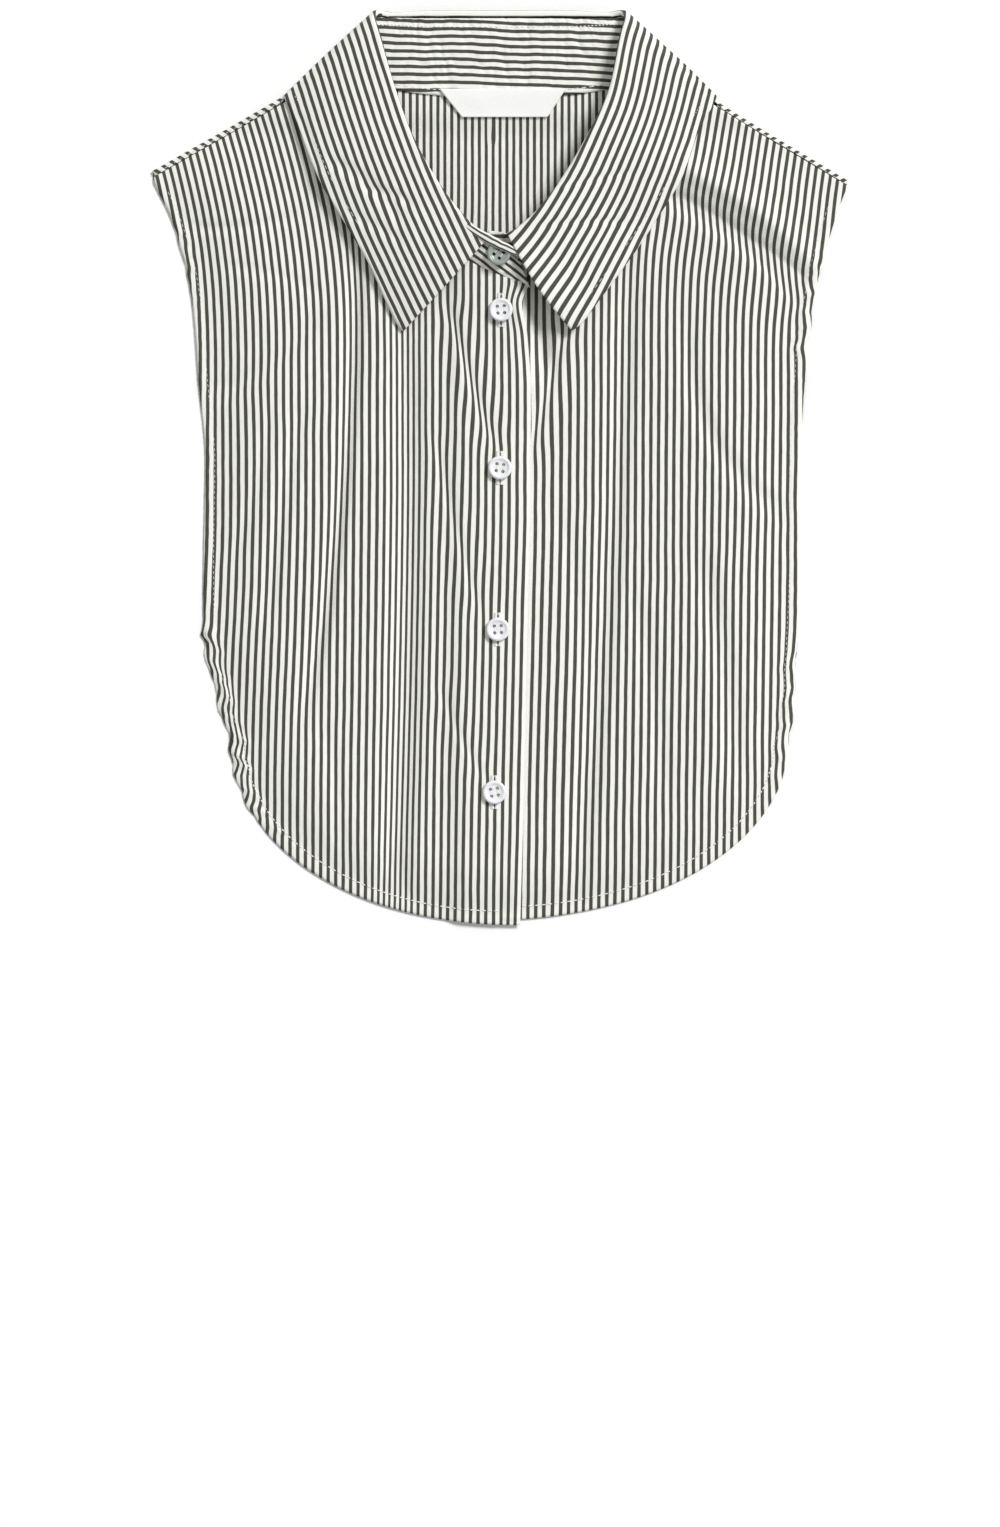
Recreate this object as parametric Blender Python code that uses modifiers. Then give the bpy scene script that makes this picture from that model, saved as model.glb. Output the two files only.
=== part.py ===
"""A dickey: a striped poplin shirt collar on a short buttoned bib, laid flat and face up.

The cloth is modelled as worked-out surfaces given a wall. All lengths are in millimetres until a point
is made: 'across' runs from the centre front to the viewer's right, 'up' from the lowest hem to the neck,
and 'lift' is the height above the surface that the garment lies on. The wearer's right is at -X.
"""
import math
from collections import namedtuple

import bmesh
import bpy
from mathutils import Vector

MM = 0.001

# Driving sizes, in millimetres
BODY_WALL = 1.2
COLLAR_WALL = 1.6
LABEL_WALL = 1.0
SEAM_GAP = 0.3
NECK_SEAM_DROP = 0.5
ROLL_GAP = 1.0
LAYER_GAP = 0.3

HEM_CENTRE_UP = 90.5
HEM_HALF_WIDTH = {-1: 132.0, 1: 141.3}
HEM_DROP = {-1: 90.5, 1: 88.5}
HEM_SPACING = 1.3
HEM_SIDE_UP = 135.0
HEM_SIDE_SHARE = 0.13
SHOULDER_TIP = {-1: (171.0, 365.4), 1: (171.0, 362.9)}
NECK_CORNER = (83.0, 415.5)
FORWARD_ROLL = 3.0
BACK_INSET = 2.0
TIP_INSET = 0.7

RESTING_PITCH = 1.8
LOFT = 3.4
EDGE_SOFTENING = (2.0, 42.0)
SHOULDER_SOFTENING = (3.0, 38.0)
NECK_RISE = 2.4
NECK_RISE_REACH = 48.0
NECK_DEPTH = 97.3
NECK_POWER = 1.6
LAP_LIFT = 2.0
LAP_RAMP = (-28.0, -17.5)
BACK_RAMP = (384.0, 398.5)
UNDER_LAP = 14.0

# The back's rows: the share that lies flat, and along its top the share on each shoulder
BACK_FLAT_SHARE = 0.76
BACK_NECK_SHARE = 0.27
BACK_NECK_STRIP = 4.0
ROLL_FADE = 0.68
CORNER_CLEARANCE = 3.2

LAYER_PITCH = 2.1
LEAF_LEG = 1.5
LEAF_CROWN = 1.4
LEAF_EDGE_CLEARANCE = 0.9
LEAF_CLEARANCE = 0.8

# Grid sizes, in faces
FRONT_COLUMNS, FRONT_ROWS = 17, 26
BACK_COLUMNS, BACK_FLAT_ROWS, BACK_ROLL_ROWS = 30, 19, 6
BACK_ROW_POWER = 1.6
LEAF_ROLL_STEPS, LEAF_ROWS = 5, 11
STAND_ROWS = 5
LABEL_FACES = 6
BUTTON_STEPS = 18
HOLE_STEPS = 8

BUTTON_RADIUS = 5.75
BUTTON_HEIGHT = 2.3
BUTTON_HOLE_RADIUS = 0.75
BUTTON_HOLE_SPREAD = 1.65
BUTTON_BASE = 0.75

# The middle of the laid garment's outline, which becomes the part's origin
MIDDLE = (0.0, 223.6)

# Armhole edge: distance out from the centre front at each height
ArmholeRow = namedtuple("ArmholeRow", "up right_out left_out")
ARMHOLE = (
    ArmholeRow(90.5, 132.0, 141.3),
    ArmholeRow(110.0, 138.0, 143.8),
    ArmholeRow(139.0, 144.8, 145.2),
    ArmholeRow(178.0, 145.2, 146.7),
    ArmholeRow(227.0, 144.6, 147.0),
    ArmholeRow(266.0, 148.2, 149.0),
    ArmholeRow(306.0, 151.6, 153.6),
    ArmholeRow(345.0, 161.4, 163.5),
    ArmholeRow(365.4, 171.0, 171.0),
)

# Front edge of the top lap: how far it reaches past the centre front at each height
LapRow = namedtuple("LapRow", "up past")
TOP_LAP = (
    LapRow(0.0, 9.8),
    LapRow(90.0, 12.2),
    LapRow(160.0, 13.7),
    LapRow(208.0, 14.9),
    LapRow(261.0, 14.9),
    LapRow(288.0, 13.2),
    LapRow(303.0, 10.6),
    LapRow(312.0, 13.9),
)

# Front neck seam, from past the centre front out to the shoulder
SeamRow = namedtuple("SeamRow", "reach out up")
FRONT_NECK = (
    SeamRow(0.00, 83.0, 415.5),
    SeamRow(0.16, 79.2, 398.5),
    SeamRow(0.38, 69.4, 374.1),
    SeamRow(0.62, 49.9, 348.7),
    SeamRow(0.78, 29.3, 331.6),
    SeamRow(0.90, 13.7, 324.0),
    SeamRow(0.95, 0.0, 318.0),
    SeamRow(1.00, -14.0, 312.0),
)

# Back neck seam, from one shoulder over the centre back to the other
BackNeckRow = namedtuple("BackNeckRow", "across up")
BACK_NECK = (
    BackNeckRow(-78.4, 413.9),
    BackNeckRow(-71.0, 411.9),
    BackNeckRow(-54.0, 408.7),
    BackNeckRow(-28.0, 405.8),
    BackNeckRow(0.0, 404.6),
    BackNeckRow(28.0, 405.8),
    BackNeckRow(54.0, 408.7),
    BackNeckRow(71.0, 411.9),
    BackNeckRow(78.4, 413.9),
)

# Main folds of the fronts: a path through three points, half its width, and its depth
FoldRow = namedtuple("FoldRow", "name start middle end half_width depth")
FOLDS = (
    FoldRow("right long fold", (-46.5, 292.0), (-45.5, 159.0), (-55.0, 2.0), 12.5, 3.3),
    FoldRow("right outer fold", (-70.9, 324.0), (-75.3, 217.0), (-98.5, 104.0), 8.0, 2.7),
    FoldRow("right side fold", (-97.0, 250.0), (-107.0, 198.0), (-113.4, 150.0), 7.5, 1.3),
    FoldRow("left long fold", (62.4, 318.0), (56.5, 190.0), (21.0, 16.0), 9.5, 2.6),
    FoldRow("left side fold", (99.0, 178.0), (108.0, 129.0), (115.5, 72.0), 10.0, 1.7),
    FoldRow("left collar fold", (80.0, 342.5), (117.0, 319.5), (154.0, 274.0), 8.5, 2.1),
    FoldRow("left armhole fold", (92.0, 294.0), (105.0, 235.0), (146.0, 196.0), 8.0, 1.4),
    FoldRow("right armhole fold", (-88.0, 297.0), (-116.0, 271.0), (-142.0, 257.0), 8.0, 1.5),
)

# Puckers along the wearer's right hem, where the edge stitching draws the cloth up
PUCKER_LOW, PUCKER_HIGH = 48.0, 142.0
PUCKER_PITCH = 11.5
PUCKER_DEPTH = 1.1

# The collar, one row for each section round the neck. 'roll' is where the leaf folds over, 'edge' the
# leaf's outer edge, 'seam' the stand's lower edge; each is (across, up, lift). A lift of None lies on the
# front. 'bulge' is how far the stand bows out, and 'strips' go on to the next row.
Section = namedtuple("Section", "name roll edge seam bulge strips")
COLLAR_RIGHT = (
    Section("top lap end", (5.4, 328.8, 15.4), (-20.0, 283.0, None), (13.4, 312.6, None), 0.8, 2),
    Section("top lap", (0.0, 332.4, 16.4), (-33.0, 286.0, None), (0.0, 318.6, None), 1.0, 2),
    Section("right leaf front", (-6.4, 333.5, 16.8), (-47.0, 289.8, None), (-13.5, 324.6, None), 1.2, 2),
    Section("right front", (-14.7, 339.9, 17.6), (-54.6, 302.0, None), (-27.0, 331.6, None), 1.2, 3),
    Section("right chest", (-29.3, 357.4, 18.4), (-64.7, 323.8, None), (-47.0, 347.5, None), 1.2, 4),
    Section("right side", (-44.0, 383.9, 18.0), (-88.6, 364.6, None), (-66.2, 371.4, None), 1.2, 3),
    Section("right shoulder", (-52.9, 408.3, 16.2), (-98.8, 389.4, 7.8), (-76.2, 394.0, None), 0.8, 3),
)
COLLAR_LEFT = (
    Section("left shoulder", (55.0, 408.3, 16.2), (97.0, 388.0, 7.8), (76.2, 394.0, None), 0.8, 3),
    Section("left side", (44.0, 383.9, 18.0), (89.6, 366.4, None), (66.2, 371.4, None), 1.2, 4),
    Section("left chest", (29.3, 359.4, 18.6), (70.4, 335.0, None), (46.0, 346.4, None), 1.2, 3),
    Section("left front", (14.7, 342.3, 18.0), (49.5, 306.4, None), (26.0, 330.9, None), 1.2, 2),
    Section("left leaf front", (3.9, 335.4, 17.4), (34.7, 289.8, None), (13.0, 324.4, None), 0.6, 2),
    Section("under lap", (-1.5, 339.2, 12.6), (20.0, 287.0, None), (0.0, 318.6, None), 0.0, 2),
    Section("under lap end", (-6.6, 340.8, 10.8), (8.0, 284.0, None), (-13.4, 312.6, None), 0.0, 0),
)
COLLAR_BACK = (
    Section("right back", (-33.0, 445.4, 0.8), (-36.5, 402.0, 0.8), (-34.2, 407.2, 2.9), 0.0, 2),
    Section("centre back", (0.0, 445.4, 0.8), (0.0, 402.0, 0.8), (0.0, 405.3, 2.9), 0.0, 2),
    Section("left back", (33.0, 445.4, 0.8), (36.5, 402.0, 0.8), (34.2, 407.2, 2.9), 0.0, 3),
)

# Where the collar turns under at each shoulder: the first and last place of the half turn, and how far
# it swells out sideways between them
Turn = namedtuple("Turn", "line over under swell")
TURN = (
    Turn("roll", (60.2, 435.0, 12.8), (53.4, 444.8, 0.8), 7.4),
    Turn("edge", (103.0, 398.8, 7.3), (99.8, 403.2, 0.8), 5.4),
    Turn("seam", (80.9, 409.6, 6.8), (80.4, 414.8, 2.9), 3.0),
)
TURN_SPANS = 7
LEAF_START = "right leaf front"
LEAF_END = "left leaf front"
LEAF_END_TRIM = 1.0

# Bare label under the back neck seam: a trapezium, wider along its sewn edge
LabelRow = namedtuple("LabelRow", "up low_across high_across")
LABEL = (
    LabelRow(394.6, -18.6, 23.2),
    LabelRow(408.3, -29.8, 32.3),
)
LABEL_RAMP = (401.0, 404.5)

# Front buttons, from the top down
ButtonRow = namedtuple("ButtonRow", "name across up")
FRONT_BUTTONS = (
    ButtonRow("button_1", 0.5, 299.8),
    ButtonRow("button_2", 0.0, 223.0),
    ButtonRow("button_3", -1.0, 144.3),
    ButtonRow("button_4", -2.7, 65.0),
)
STAND_BUTTON = (-0.6, 326.6)

# Turned profile of a button, down its outer side: share of the radius and of the height
ButtonProfileRow = namedtuple("ButtonProfileRow", "radius height")
BUTTON_PROFILE = (
    ButtonProfileRow(0.0, 0.72),
    ButtonProfileRow(0.56, 0.72),
    ButtonProfileRow(0.72, 1.0),
    ButtonProfileRow(0.90, 0.98),
    ButtonProfileRow(1.0, 0.62),
    ButtonProfileRow(0.92, 0.16),
    ButtonProfileRow(0.74, 0.0),
    ButtonProfileRow(0.0, 0.0),
)

POPLIN = (0.43, 0.43, 0.40)
LABEL_WHITE = (0.90, 0.90, 0.89)
BUTTON_WHITE = (0.86, 0.86, 0.87)
STAND_BUTTON_GREY = (0.62, 0.64, 0.63)


# Plain curves

def ease(low, high, value):
    """Smooth step from 0 at low to 1 at high."""
    share = min(1.0, max(0.0, (value - low) / (high - low)))
    return share * share * (3.0 - 2.0 * share)


def slope_at(places, values, index):
    """Slope of a curve that never overshoots its points."""
    last = len(places) - 1
    if index == 0:
        return (values[1] - values[0]) / (places[1] - places[0])
    if index == last:
        return (values[last] - values[last - 1]) / (places[last] - places[last - 1])
    before = (values[index] - values[index - 1]) / (places[index] - places[index - 1])
    after = (values[index + 1] - values[index]) / (places[index + 1] - places[index])
    if before * after <= 0.0:
        return 0.0
    return 2.0 * before * after / (before + after)


def follow(places, values, place):
    """Value at a place on the smooth curve through the points."""
    place = min(places[-1], max(places[0], place))
    index = 0
    while index < len(places) - 2 and place > places[index + 1]:
        index += 1
    span = places[index + 1] - places[index]
    share = (place - places[index]) / span
    start_slope = slope_at(places, values, index) * span
    end_slope = slope_at(places, values, index + 1) * span
    square, cube = share ** 2, share ** 3
    return (
        (2 * cube - 3 * square + 1) * values[index]
        + (cube - 2 * square + share) * start_slope
        + (3 * square - 2 * cube) * values[index + 1]
        + (cube - square) * end_slope
    )


def column(table, name):
    return [getattr(row, name) for row in table]


# Outline and height of the fronts

def armhole_out(side, up):
    name = "right_out" if side < 0 else "left_out"
    return follow(column(ARMHOLE, "up"), column(ARMHOLE, name), up)


def shoulder_frame(side):
    """Tip of the shoulder, its direction to the neck, and its inward normal, all in the plan."""
    tip = Vector((side * SHOULDER_TIP[side][0], SHOULDER_TIP[side][1]))
    corner = Vector((side * NECK_CORNER[0], NECK_CORNER[1]))
    along = (corner - tip).normalized()
    inward = Vector((along.y, -along.x)) if side < 0 else Vector((-along.y, along.x))
    return tip, corner, along, inward


def fold_depth(across, up):
    """How deep the fronts sink in their folds at a place."""
    depth = 0.0
    for fold in FOLDS:
        start, middle, end = Vector(fold.start), Vector(fold.middle), Vector(fold.end)
        length = (end - start).length
        axis = (end - start) / length
        place = Vector((across, up))
        share = (place - start).dot(axis) / length
        if share <= -0.1 or share >= 1.1:
            continue
        centre = start.lerp(end, share) + (middle - start.lerp(end, 0.5)) * 4.0 * share * (1.0 - share)
        offset = abs(Vector((-axis.y, axis.x)).dot(place - centre)) / fold.half_width
        if offset >= 1.0:
            continue
        fade = ease(-0.1, 0.12, share) * (1.0 - ease(0.85, 1.1, share))
        depth += fold.depth * fade * math.cos(0.5 * math.pi * offset) ** 2
    return depth


def pucker(across, up):
    """Short waves across the wearer's right hem, fading inwards from the edge."""
    if across > 0.0:
        return 0.0
    inward = armhole_out(-1, max(up, HEM_CENTRE_UP)) + across
    along = ease(PUCKER_LOW, PUCKER_LOW + 20.0, up) * (1.0 - ease(PUCKER_HIGH - 20.0, PUCKER_HIGH, up))
    fade = 1.0 - ease(6.0, 30.0, inward)
    return PUCKER_DEPTH * along * fade * (0.5 - 0.5 * math.cos(2.0 * math.pi * (up + 0.25 * inward) / PUCKER_PITCH))


def back_lift(up):
    """The back lies on the surface, and near the neck on the leaf that is folded under it."""
    on_surface = 0.5 * BODY_WALL
    on_leaf = COLLAR_WALL + LAYER_GAP + 0.5 * BODY_WALL
    return on_surface + (on_leaf - on_surface) * ease(*BACK_RAMP, up)


def body_lift(across, up):
    """Height of the fronts' middle surface, before the top lap is raised."""
    side = -1 if across < 0.0 else 1
    out = abs(across)
    half_width = armhole_out(side, max(up, HEM_CENTRE_UP))
    drop = max(0.0, HEM_CENTRE_UP - up) / HEM_DROP[side]
    from_edge = half_width * (1.0 - math.hypot(out / half_width, drop))
    tip, corner, along, inward = shoulder_frame(side)
    from_shoulder = inward.dot(Vector((across, up)) - tip)
    loft = LOFT * ease(*EDGE_SOFTENING, from_edge) * ease(*SHOULDER_SOFTENING, from_shoulder)
    neck_drop = max(0.0, NECK_CORNER[1] - up)
    neck = (out / NECK_CORNER[0]) ** NECK_POWER + (neck_drop / NECK_DEPTH) ** NECK_POWER
    from_neck = NECK_DEPTH * (neck ** (1.0 / NECK_POWER) - 1.0)
    rise = NECK_RISE * (1.0 - ease(0.0, NECK_RISE_REACH, from_neck))
    sunk = min(fold_depth(across, up), loft)
    return back_lift(up) + RESTING_PITCH + loft - sunk + rise + pucker(across, up)


def lap_lift(across):
    """How much the top lap is raised over the under lap."""
    return LAP_LIFT * ease(*LAP_RAMP, across)


def hem_place(side, share, inset=0.0):
    """Distance out and height on the hem, from its side at share 0 to its lowest point at 1."""
    if share < HEM_SIDE_SHARE:
        up = HEM_SIDE_UP + (HEM_CENTRE_UP - HEM_SIDE_UP) * share / HEM_SIDE_SHARE
        return Vector((armhole_out(side, up) - inset, up))
    out = 1.0 - ((share - HEM_SIDE_SHARE) / (1.0 - HEM_SIDE_SHARE)) ** HEM_SPACING
    drop = math.sqrt(1.0 - out * out)
    return Vector((
        (HEM_HALF_WIDTH[side] - inset) * out,
        HEM_CENTRE_UP - (HEM_DROP[side] - inset) * drop,
    ))


def front_plan(side, share_out, share_up):
    """Place in the plan on a front: share_out runs from armhole to front edge, share_up from hem to top."""
    top_side = side < 0
    past_hem = TOP_LAP[0].past if top_side else UNDER_LAP
    bottom = hem_place(side, share_out) - Vector((past_hem * share_out ** 4, 0.0))
    low_up = HEM_SIDE_UP
    tip_up = SHOULDER_TIP[side][1]

    def armhole(share):
        up = low_up + (tip_up - low_up) * share
        return Vector((armhole_out(side, up), up))

    def front_edge(share):
        hem_up = HEM_CENTRE_UP - HEM_DROP[side]
        up = hem_up + (FRONT_NECK[-1].up - hem_up) * share
        past = follow(column(TOP_LAP, "up"), column(TOP_LAP, "past"), up) if top_side else UNDER_LAP
        return Vector((-past, up))

    def top(share):
        tip, corner, along, inward = shoulder_frame(side)
        inset = inward * (FORWARD_ROLL + SEAM_GAP)
        if share < 0.5:
            place = tip.lerp(corner, share / 0.5) + inset
            return Vector((side * place.x, place.y))
        reach = (share - 0.5) / 0.5
        out = follow(column(FRONT_NECK, "reach"), column(FRONT_NECK, "out"), reach)
        up = follow(column(FRONT_NECK, "reach"), column(FRONT_NECK, "up"), reach)
        inset_up = inset.y * (1.0 - reach) - NECK_SEAM_DROP * min(1.0, reach / 0.05)
        inset_out = side * inset.x * (1.0 - reach)
        return Vector((out + inset_out, up + inset_up))

    sides = armhole(share_up) * (1.0 - share_out) + front_edge(share_up) * share_out
    ends = bottom * (1.0 - share_up) + top(share_out) * share_up
    hem_corners = armhole(0.0) * (1.0 - share_out) + front_edge(0.0) * share_out
    top_corners = armhole(1.0) * (1.0 - share_out) + front_edge(1.0) * share_out
    place = sides + ends - hem_corners * (1.0 - share_up) - top_corners * share_up
    return side * place.x, place.y


def front_point(side, share_out, share_up):
    across, up = front_plan(side, share_out, share_up)
    lift = body_lift(across, up)
    if side < 0:
        lift += lap_lift(across)
    return Vector((across, up, lift))


# The back panel

def back_top(share):
    """The back's top line, and the side whose shoulder it is on, or 0 at the neck."""
    neck_share = BACK_NECK_SHARE
    for side in (-1, 1):
        from_side = share if side < 0 else 1.0 - share
        if from_side > neck_share:
            continue
        tip, corner, along, inward = shoulder_frame(side)
        start = tip + along * TIP_INSET
        end = corner - along * CORNER_CLEARANCE
        return start.lerp(end, from_side / neck_share), side
    reach = (share - neck_share) / (1.0 - 2.0 * neck_share)
    across = BACK_NECK[0].across + (BACK_NECK[-1].across - BACK_NECK[0].across) * reach
    up = follow(column(BACK_NECK, "across"), column(BACK_NECK, "up"), across)
    return Vector((across, up)), 0


def back_point(share, share_up):
    """A place on the back: share runs from the wearer's right to left, share_up from hem to top."""
    flat_share = min(1.0, share_up / BACK_FLAT_SHARE)
    roll_share = max(0.0, (share_up - BACK_FLAT_SHARE) / (1.0 - BACK_FLAT_SHARE))
    side = -1 if share < 0.5 else 1
    bottom = hem_place(side, 2.0 * min(share, 1.0 - share), BACK_INSET)
    bottom.x *= side

    def armhole(end, share_along):
        up = HEM_SIDE_UP + (SHOULDER_TIP[end][1] - HEM_SIDE_UP) * share_along
        return Vector((end * (armhole_out(end, up) - BACK_INSET), up))

    place, shoulder = back_top(share)
    inward = Vector((0.0, -1.0))
    radius, flattened = 0.0, 1.0
    if shoulder:
        inward = shoulder_frame(shoulder)[3]
        front_lift = body_lift(*(place + inward * FORWARD_ROLL))
        radius = 0.5 * (front_lift - back_lift(place.y))
        flattened = ease(ROLL_FADE, 1.0, min(share, 1.0 - share) / BACK_NECK_SHARE)
    roll_inset = (radius + 0.5 * BODY_WALL) * (1.0 - flattened)
    run = BACK_NECK_STRIP * flattened
    top_place = place + inward * (roll_inset + run)

    sides = armhole(-1, flat_share) * (1.0 - share) + armhole(1, flat_share) * share
    ends = bottom * (1.0 - flat_share) + top_place * flat_share
    hem_corners = armhole(-1, 0.0) * (1.0 - share) + armhole(1, 0.0) * share
    top_corners = armhole(-1, 1.0) * (1.0 - share) + armhole(1, 1.0) * share
    flat = sides + ends - hem_corners * (1.0 - flat_share) - top_corners * flat_share

    full_turn = math.pi * (1.0 - flattened)
    onward = (FORWARD_ROLL - radius - 0.5 * BODY_WALL) * (1.0 - flattened)
    travel = (run + radius * full_turn + onward) * roll_share
    straight = min(travel, run)
    turn = min(full_turn, (travel - straight) / radius) if radius else 0.0
    past_turn = travel - straight - radius * turn
    lift = back_lift((flat - inward * straight).y)
    flat -= inward * (straight + radius * math.sin(turn) + past_turn * math.cos(turn))
    lift += radius * (1.0 - math.cos(turn)) + past_turn * math.sin(turn)
    return Vector((flat.x, flat.y, lift))


# The collar

def on_front(across, up, clearance):
    """Height of a layer that lies on the fronts, top lap included."""
    return body_lift(across, up) + lap_lift(across) * (across < UNDER_LAP) + clearance


def turn_sections(side):
    """Sections of the half turn at a shoulder, from over to under."""
    outward = Vector((side, 1.0)).normalized()
    sections = []
    for step in range(TURN_SPANS + 1):
        share = step / TURN_SPANS
        angle = math.pi * share
        points = {}
        for line, over, under, swell in TURN:
            across = over[0] + (under[0] - over[0]) * share
            up = over[1] + (under[1] - over[1]) * share
            plan = Vector((side * across, up)) + outward * swell * math.sin(angle)
            lift = 0.5 * (over[2] + under[2]) + 0.5 * (over[2] - under[2]) * math.cos(angle)
            points[line] = (plan.x, plan.y, lift)
        name = ("right" if side < 0 else "left") + f" turn {step}"
        sections.append(Section(name, points["roll"], points["edge"], points["seam"], 0.0, 1))
    return sections


COLLAR = [
    *COLLAR_RIGHT,
    *turn_sections(-1),
    *COLLAR_BACK,
    *reversed(turn_sections(1)),
    *COLLAR_LEFT,
]


def collar_places():
    """Running length round the collar at each section."""
    places = [0.0]
    for before, after in zip(COLLAR, COLLAR[1:]):
        step = 0.0
        for name in ("roll", "seam"):
            start, end = getattr(before, name), getattr(after, name)
            step += 0.5 * math.hypot(end[0] - start[0], end[1] - start[1])
        places.append(places[-1] + step + 1.0)
    return places


COLLAR_PLACES = collar_places()


def section_value(section, name, axis):
    """One coordinate of a section's point, with a lift that lies on the front worked out."""
    point = getattr(section, name)
    if axis < 2 or point[2] is not None:
        return point[axis]
    across, up = point[:2]
    if name == "edge":
        return on_front(across, up, 0.5 * (BODY_WALL + COLLAR_WALL) + LEAF_EDGE_CLEARANCE)
    is_top_lap = section.name.startswith(("right", "top lap"))
    return body_lift(across, up) + (lap_lift(across) if is_top_lap else 0.0)


COLLAR_TRACKS = {
    (name, axis): [section_value(section, name, axis) for section in COLLAR]
    for name in ("roll", "edge", "seam")
    for axis in range(3)
}


def collar_track(name, place):
    return Vector([follow(COLLAR_PLACES, COLLAR_TRACKS[name, axis], place) for axis in range(3)])


def collar_frame(place):
    """Roll line, leaf edge, the direction from one to the other, and the leaf's outer face normal."""
    roll = collar_track("roll", place)
    edge = collar_track("edge", place)
    step = 0.5
    along = collar_track("roll", place + step) - collar_track("roll", place - step)
    outward = (edge - roll).normalized()
    normal = along.cross(outward).normalized()
    return roll, edge, outward, normal


def leaf_point(place, index):
    """A point across the leaf: a short leg in line with the stand, the roll, and the fall."""
    roll, edge, outward, normal = collar_frame(place)
    radius = 0.5 * LAYER_PITCH
    if index == 0:
        return roll - normal * LAYER_PITCH + outward * LEAF_LEG
    if index <= LEAF_ROLL_STEPS:
        angle = math.pi * (index - 1) / (LEAF_ROLL_STEPS - 1)
        centre = roll - normal * radius
        return centre - outward * radius * math.sin(angle) - normal * radius * math.cos(angle)
    share = (index - LEAF_ROLL_STEPS) / (LEAF_ROWS - LEAF_ROLL_STEPS)
    facing_up = max(0.0, normal.z)
    point = roll.lerp(edge, share)
    point += normal * LEAF_CROWN * facing_up * math.sin(math.pi * share)
    if facing_up > 0.5:
        floor = on_front(point.x, point.y, 0.5 * (BODY_WALL + COLLAR_WALL) + LEAF_CLEARANCE)
        point.z = max(point.z, floor)
    return point


def stand_point(place, share):
    """A point across the stand, from its top edge inside the roll to the neck seam."""
    roll, edge, outward, normal = collar_frame(place)
    top = roll - normal * LAYER_PITCH + outward * (LEAF_LEG + ROLL_GAP)
    seam = collar_track("seam", place)
    bulge = follow(COLLAR_PLACES, column(COLLAR, "bulge"), place) * math.sin(math.pi * share)
    return top.lerp(seam, share) + normal * bulge


def stations(first_name, last_name):
    """Places round the collar at which the cloth has a row of points."""
    names = column(COLLAR, "name")
    first, last = names.index(first_name), names.index(last_name)
    places = []
    for index in range(first, last):
        strips = COLLAR[index].strips
        for step in range(strips):
            share = step / strips
            places.append(COLLAR_PLACES[index] * (1.0 - share) + COLLAR_PLACES[index + 1] * share)
    places.append(COLLAR_PLACES[last])
    return places


# Making the solids

def placed(point):
    """From the laid garment's millimetres to the part's metres."""
    return Vector((point[0] - MIDDLE[0], point[1] - MIDDLE[1], point[2])) * MM


def material_for(name, colour, roughness):
    material = bpy.data.materials.new(name)
    material.use_nodes = True
    shader = material.node_tree.nodes["Principled BSDF"]
    shader.inputs["Base Color"].default_value = (*colour, 1.0)
    shader.inputs["Roughness"].default_value = roughness
    shader.inputs["Metallic"].default_value = 0.0
    return material


def finish(name, mesh, material, collection):
    mesh.materials.append(material)
    piece = bpy.data.objects.new(name, mesh)
    collection.objects.link(piece)
    return piece


def cloth(name, columns, rows, surface, wall, collection, colour=POPLIN):
    """A cloth panel: a grid laid on a surface, given a wall."""
    grid = bmesh.new()
    bmesh.ops.create_grid(grid, x_segments=columns, y_segments=rows, size=0.5)
    for vertex in grid.verts:
        column_index = round((vertex.co.x + 0.5) * columns)
        row_index = round((vertex.co.y + 0.5) * rows)
        vertex.co = placed(surface(column_index, row_index))
    mesh = bpy.data.meshes.new(name)
    grid.to_mesh(mesh)
    grid.free()
    mesh.shade_smooth()
    piece = finish(name, mesh, material_for(name, colour, 0.85), collection)
    solidify = piece.modifiers.new("wall", "SOLIDIFY")
    solidify.thickness = wall * MM
    solidify.offset = 0.0
    return piece


def build_front(name, side, collection):
    def surface(column_index, row_index):
        share_out = column_index / FRONT_COLUMNS
        return front_point(side, share_out if side < 0 else 1.0 - share_out, row_index / FRONT_ROWS)

    return cloth(name, FRONT_COLUMNS, FRONT_ROWS, surface, BODY_WALL, collection)


def build_back(collection):
    rows = BACK_FLAT_ROWS + BACK_ROLL_ROWS

    def surface(column_index, row_index):
        left_over = 1.0 - min(row_index, BACK_FLAT_ROWS) / BACK_FLAT_ROWS
        flat = BACK_FLAT_SHARE * (1.0 - left_over ** BACK_ROW_POWER)
        rolled = max(0, row_index - BACK_FLAT_ROWS) / BACK_ROLL_ROWS * (1.0 - BACK_FLAT_SHARE)
        return back_point(column_index / BACK_COLUMNS, flat + rolled)

    return cloth("back_panel", BACK_COLUMNS, rows, surface, BODY_WALL, collection)


def build_leaf(collection):
    places = stations(LEAF_START, LEAF_END)
    places[-1] -= LEAF_END_TRIM

    def surface(column_index, row_index):
        return leaf_point(places[column_index], row_index)

    return cloth("collar_leaf", len(places) - 1, LEAF_ROWS, surface, COLLAR_WALL, collection)


def build_stand(collection):
    places = stations(COLLAR[0].name, COLLAR[-1].name)

    def surface(column_index, row_index):
        return stand_point(places[column_index], row_index / STAND_ROWS)

    return cloth("collar_stand", len(places) - 1, STAND_ROWS, surface, COLLAR_WALL, collection)


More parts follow.
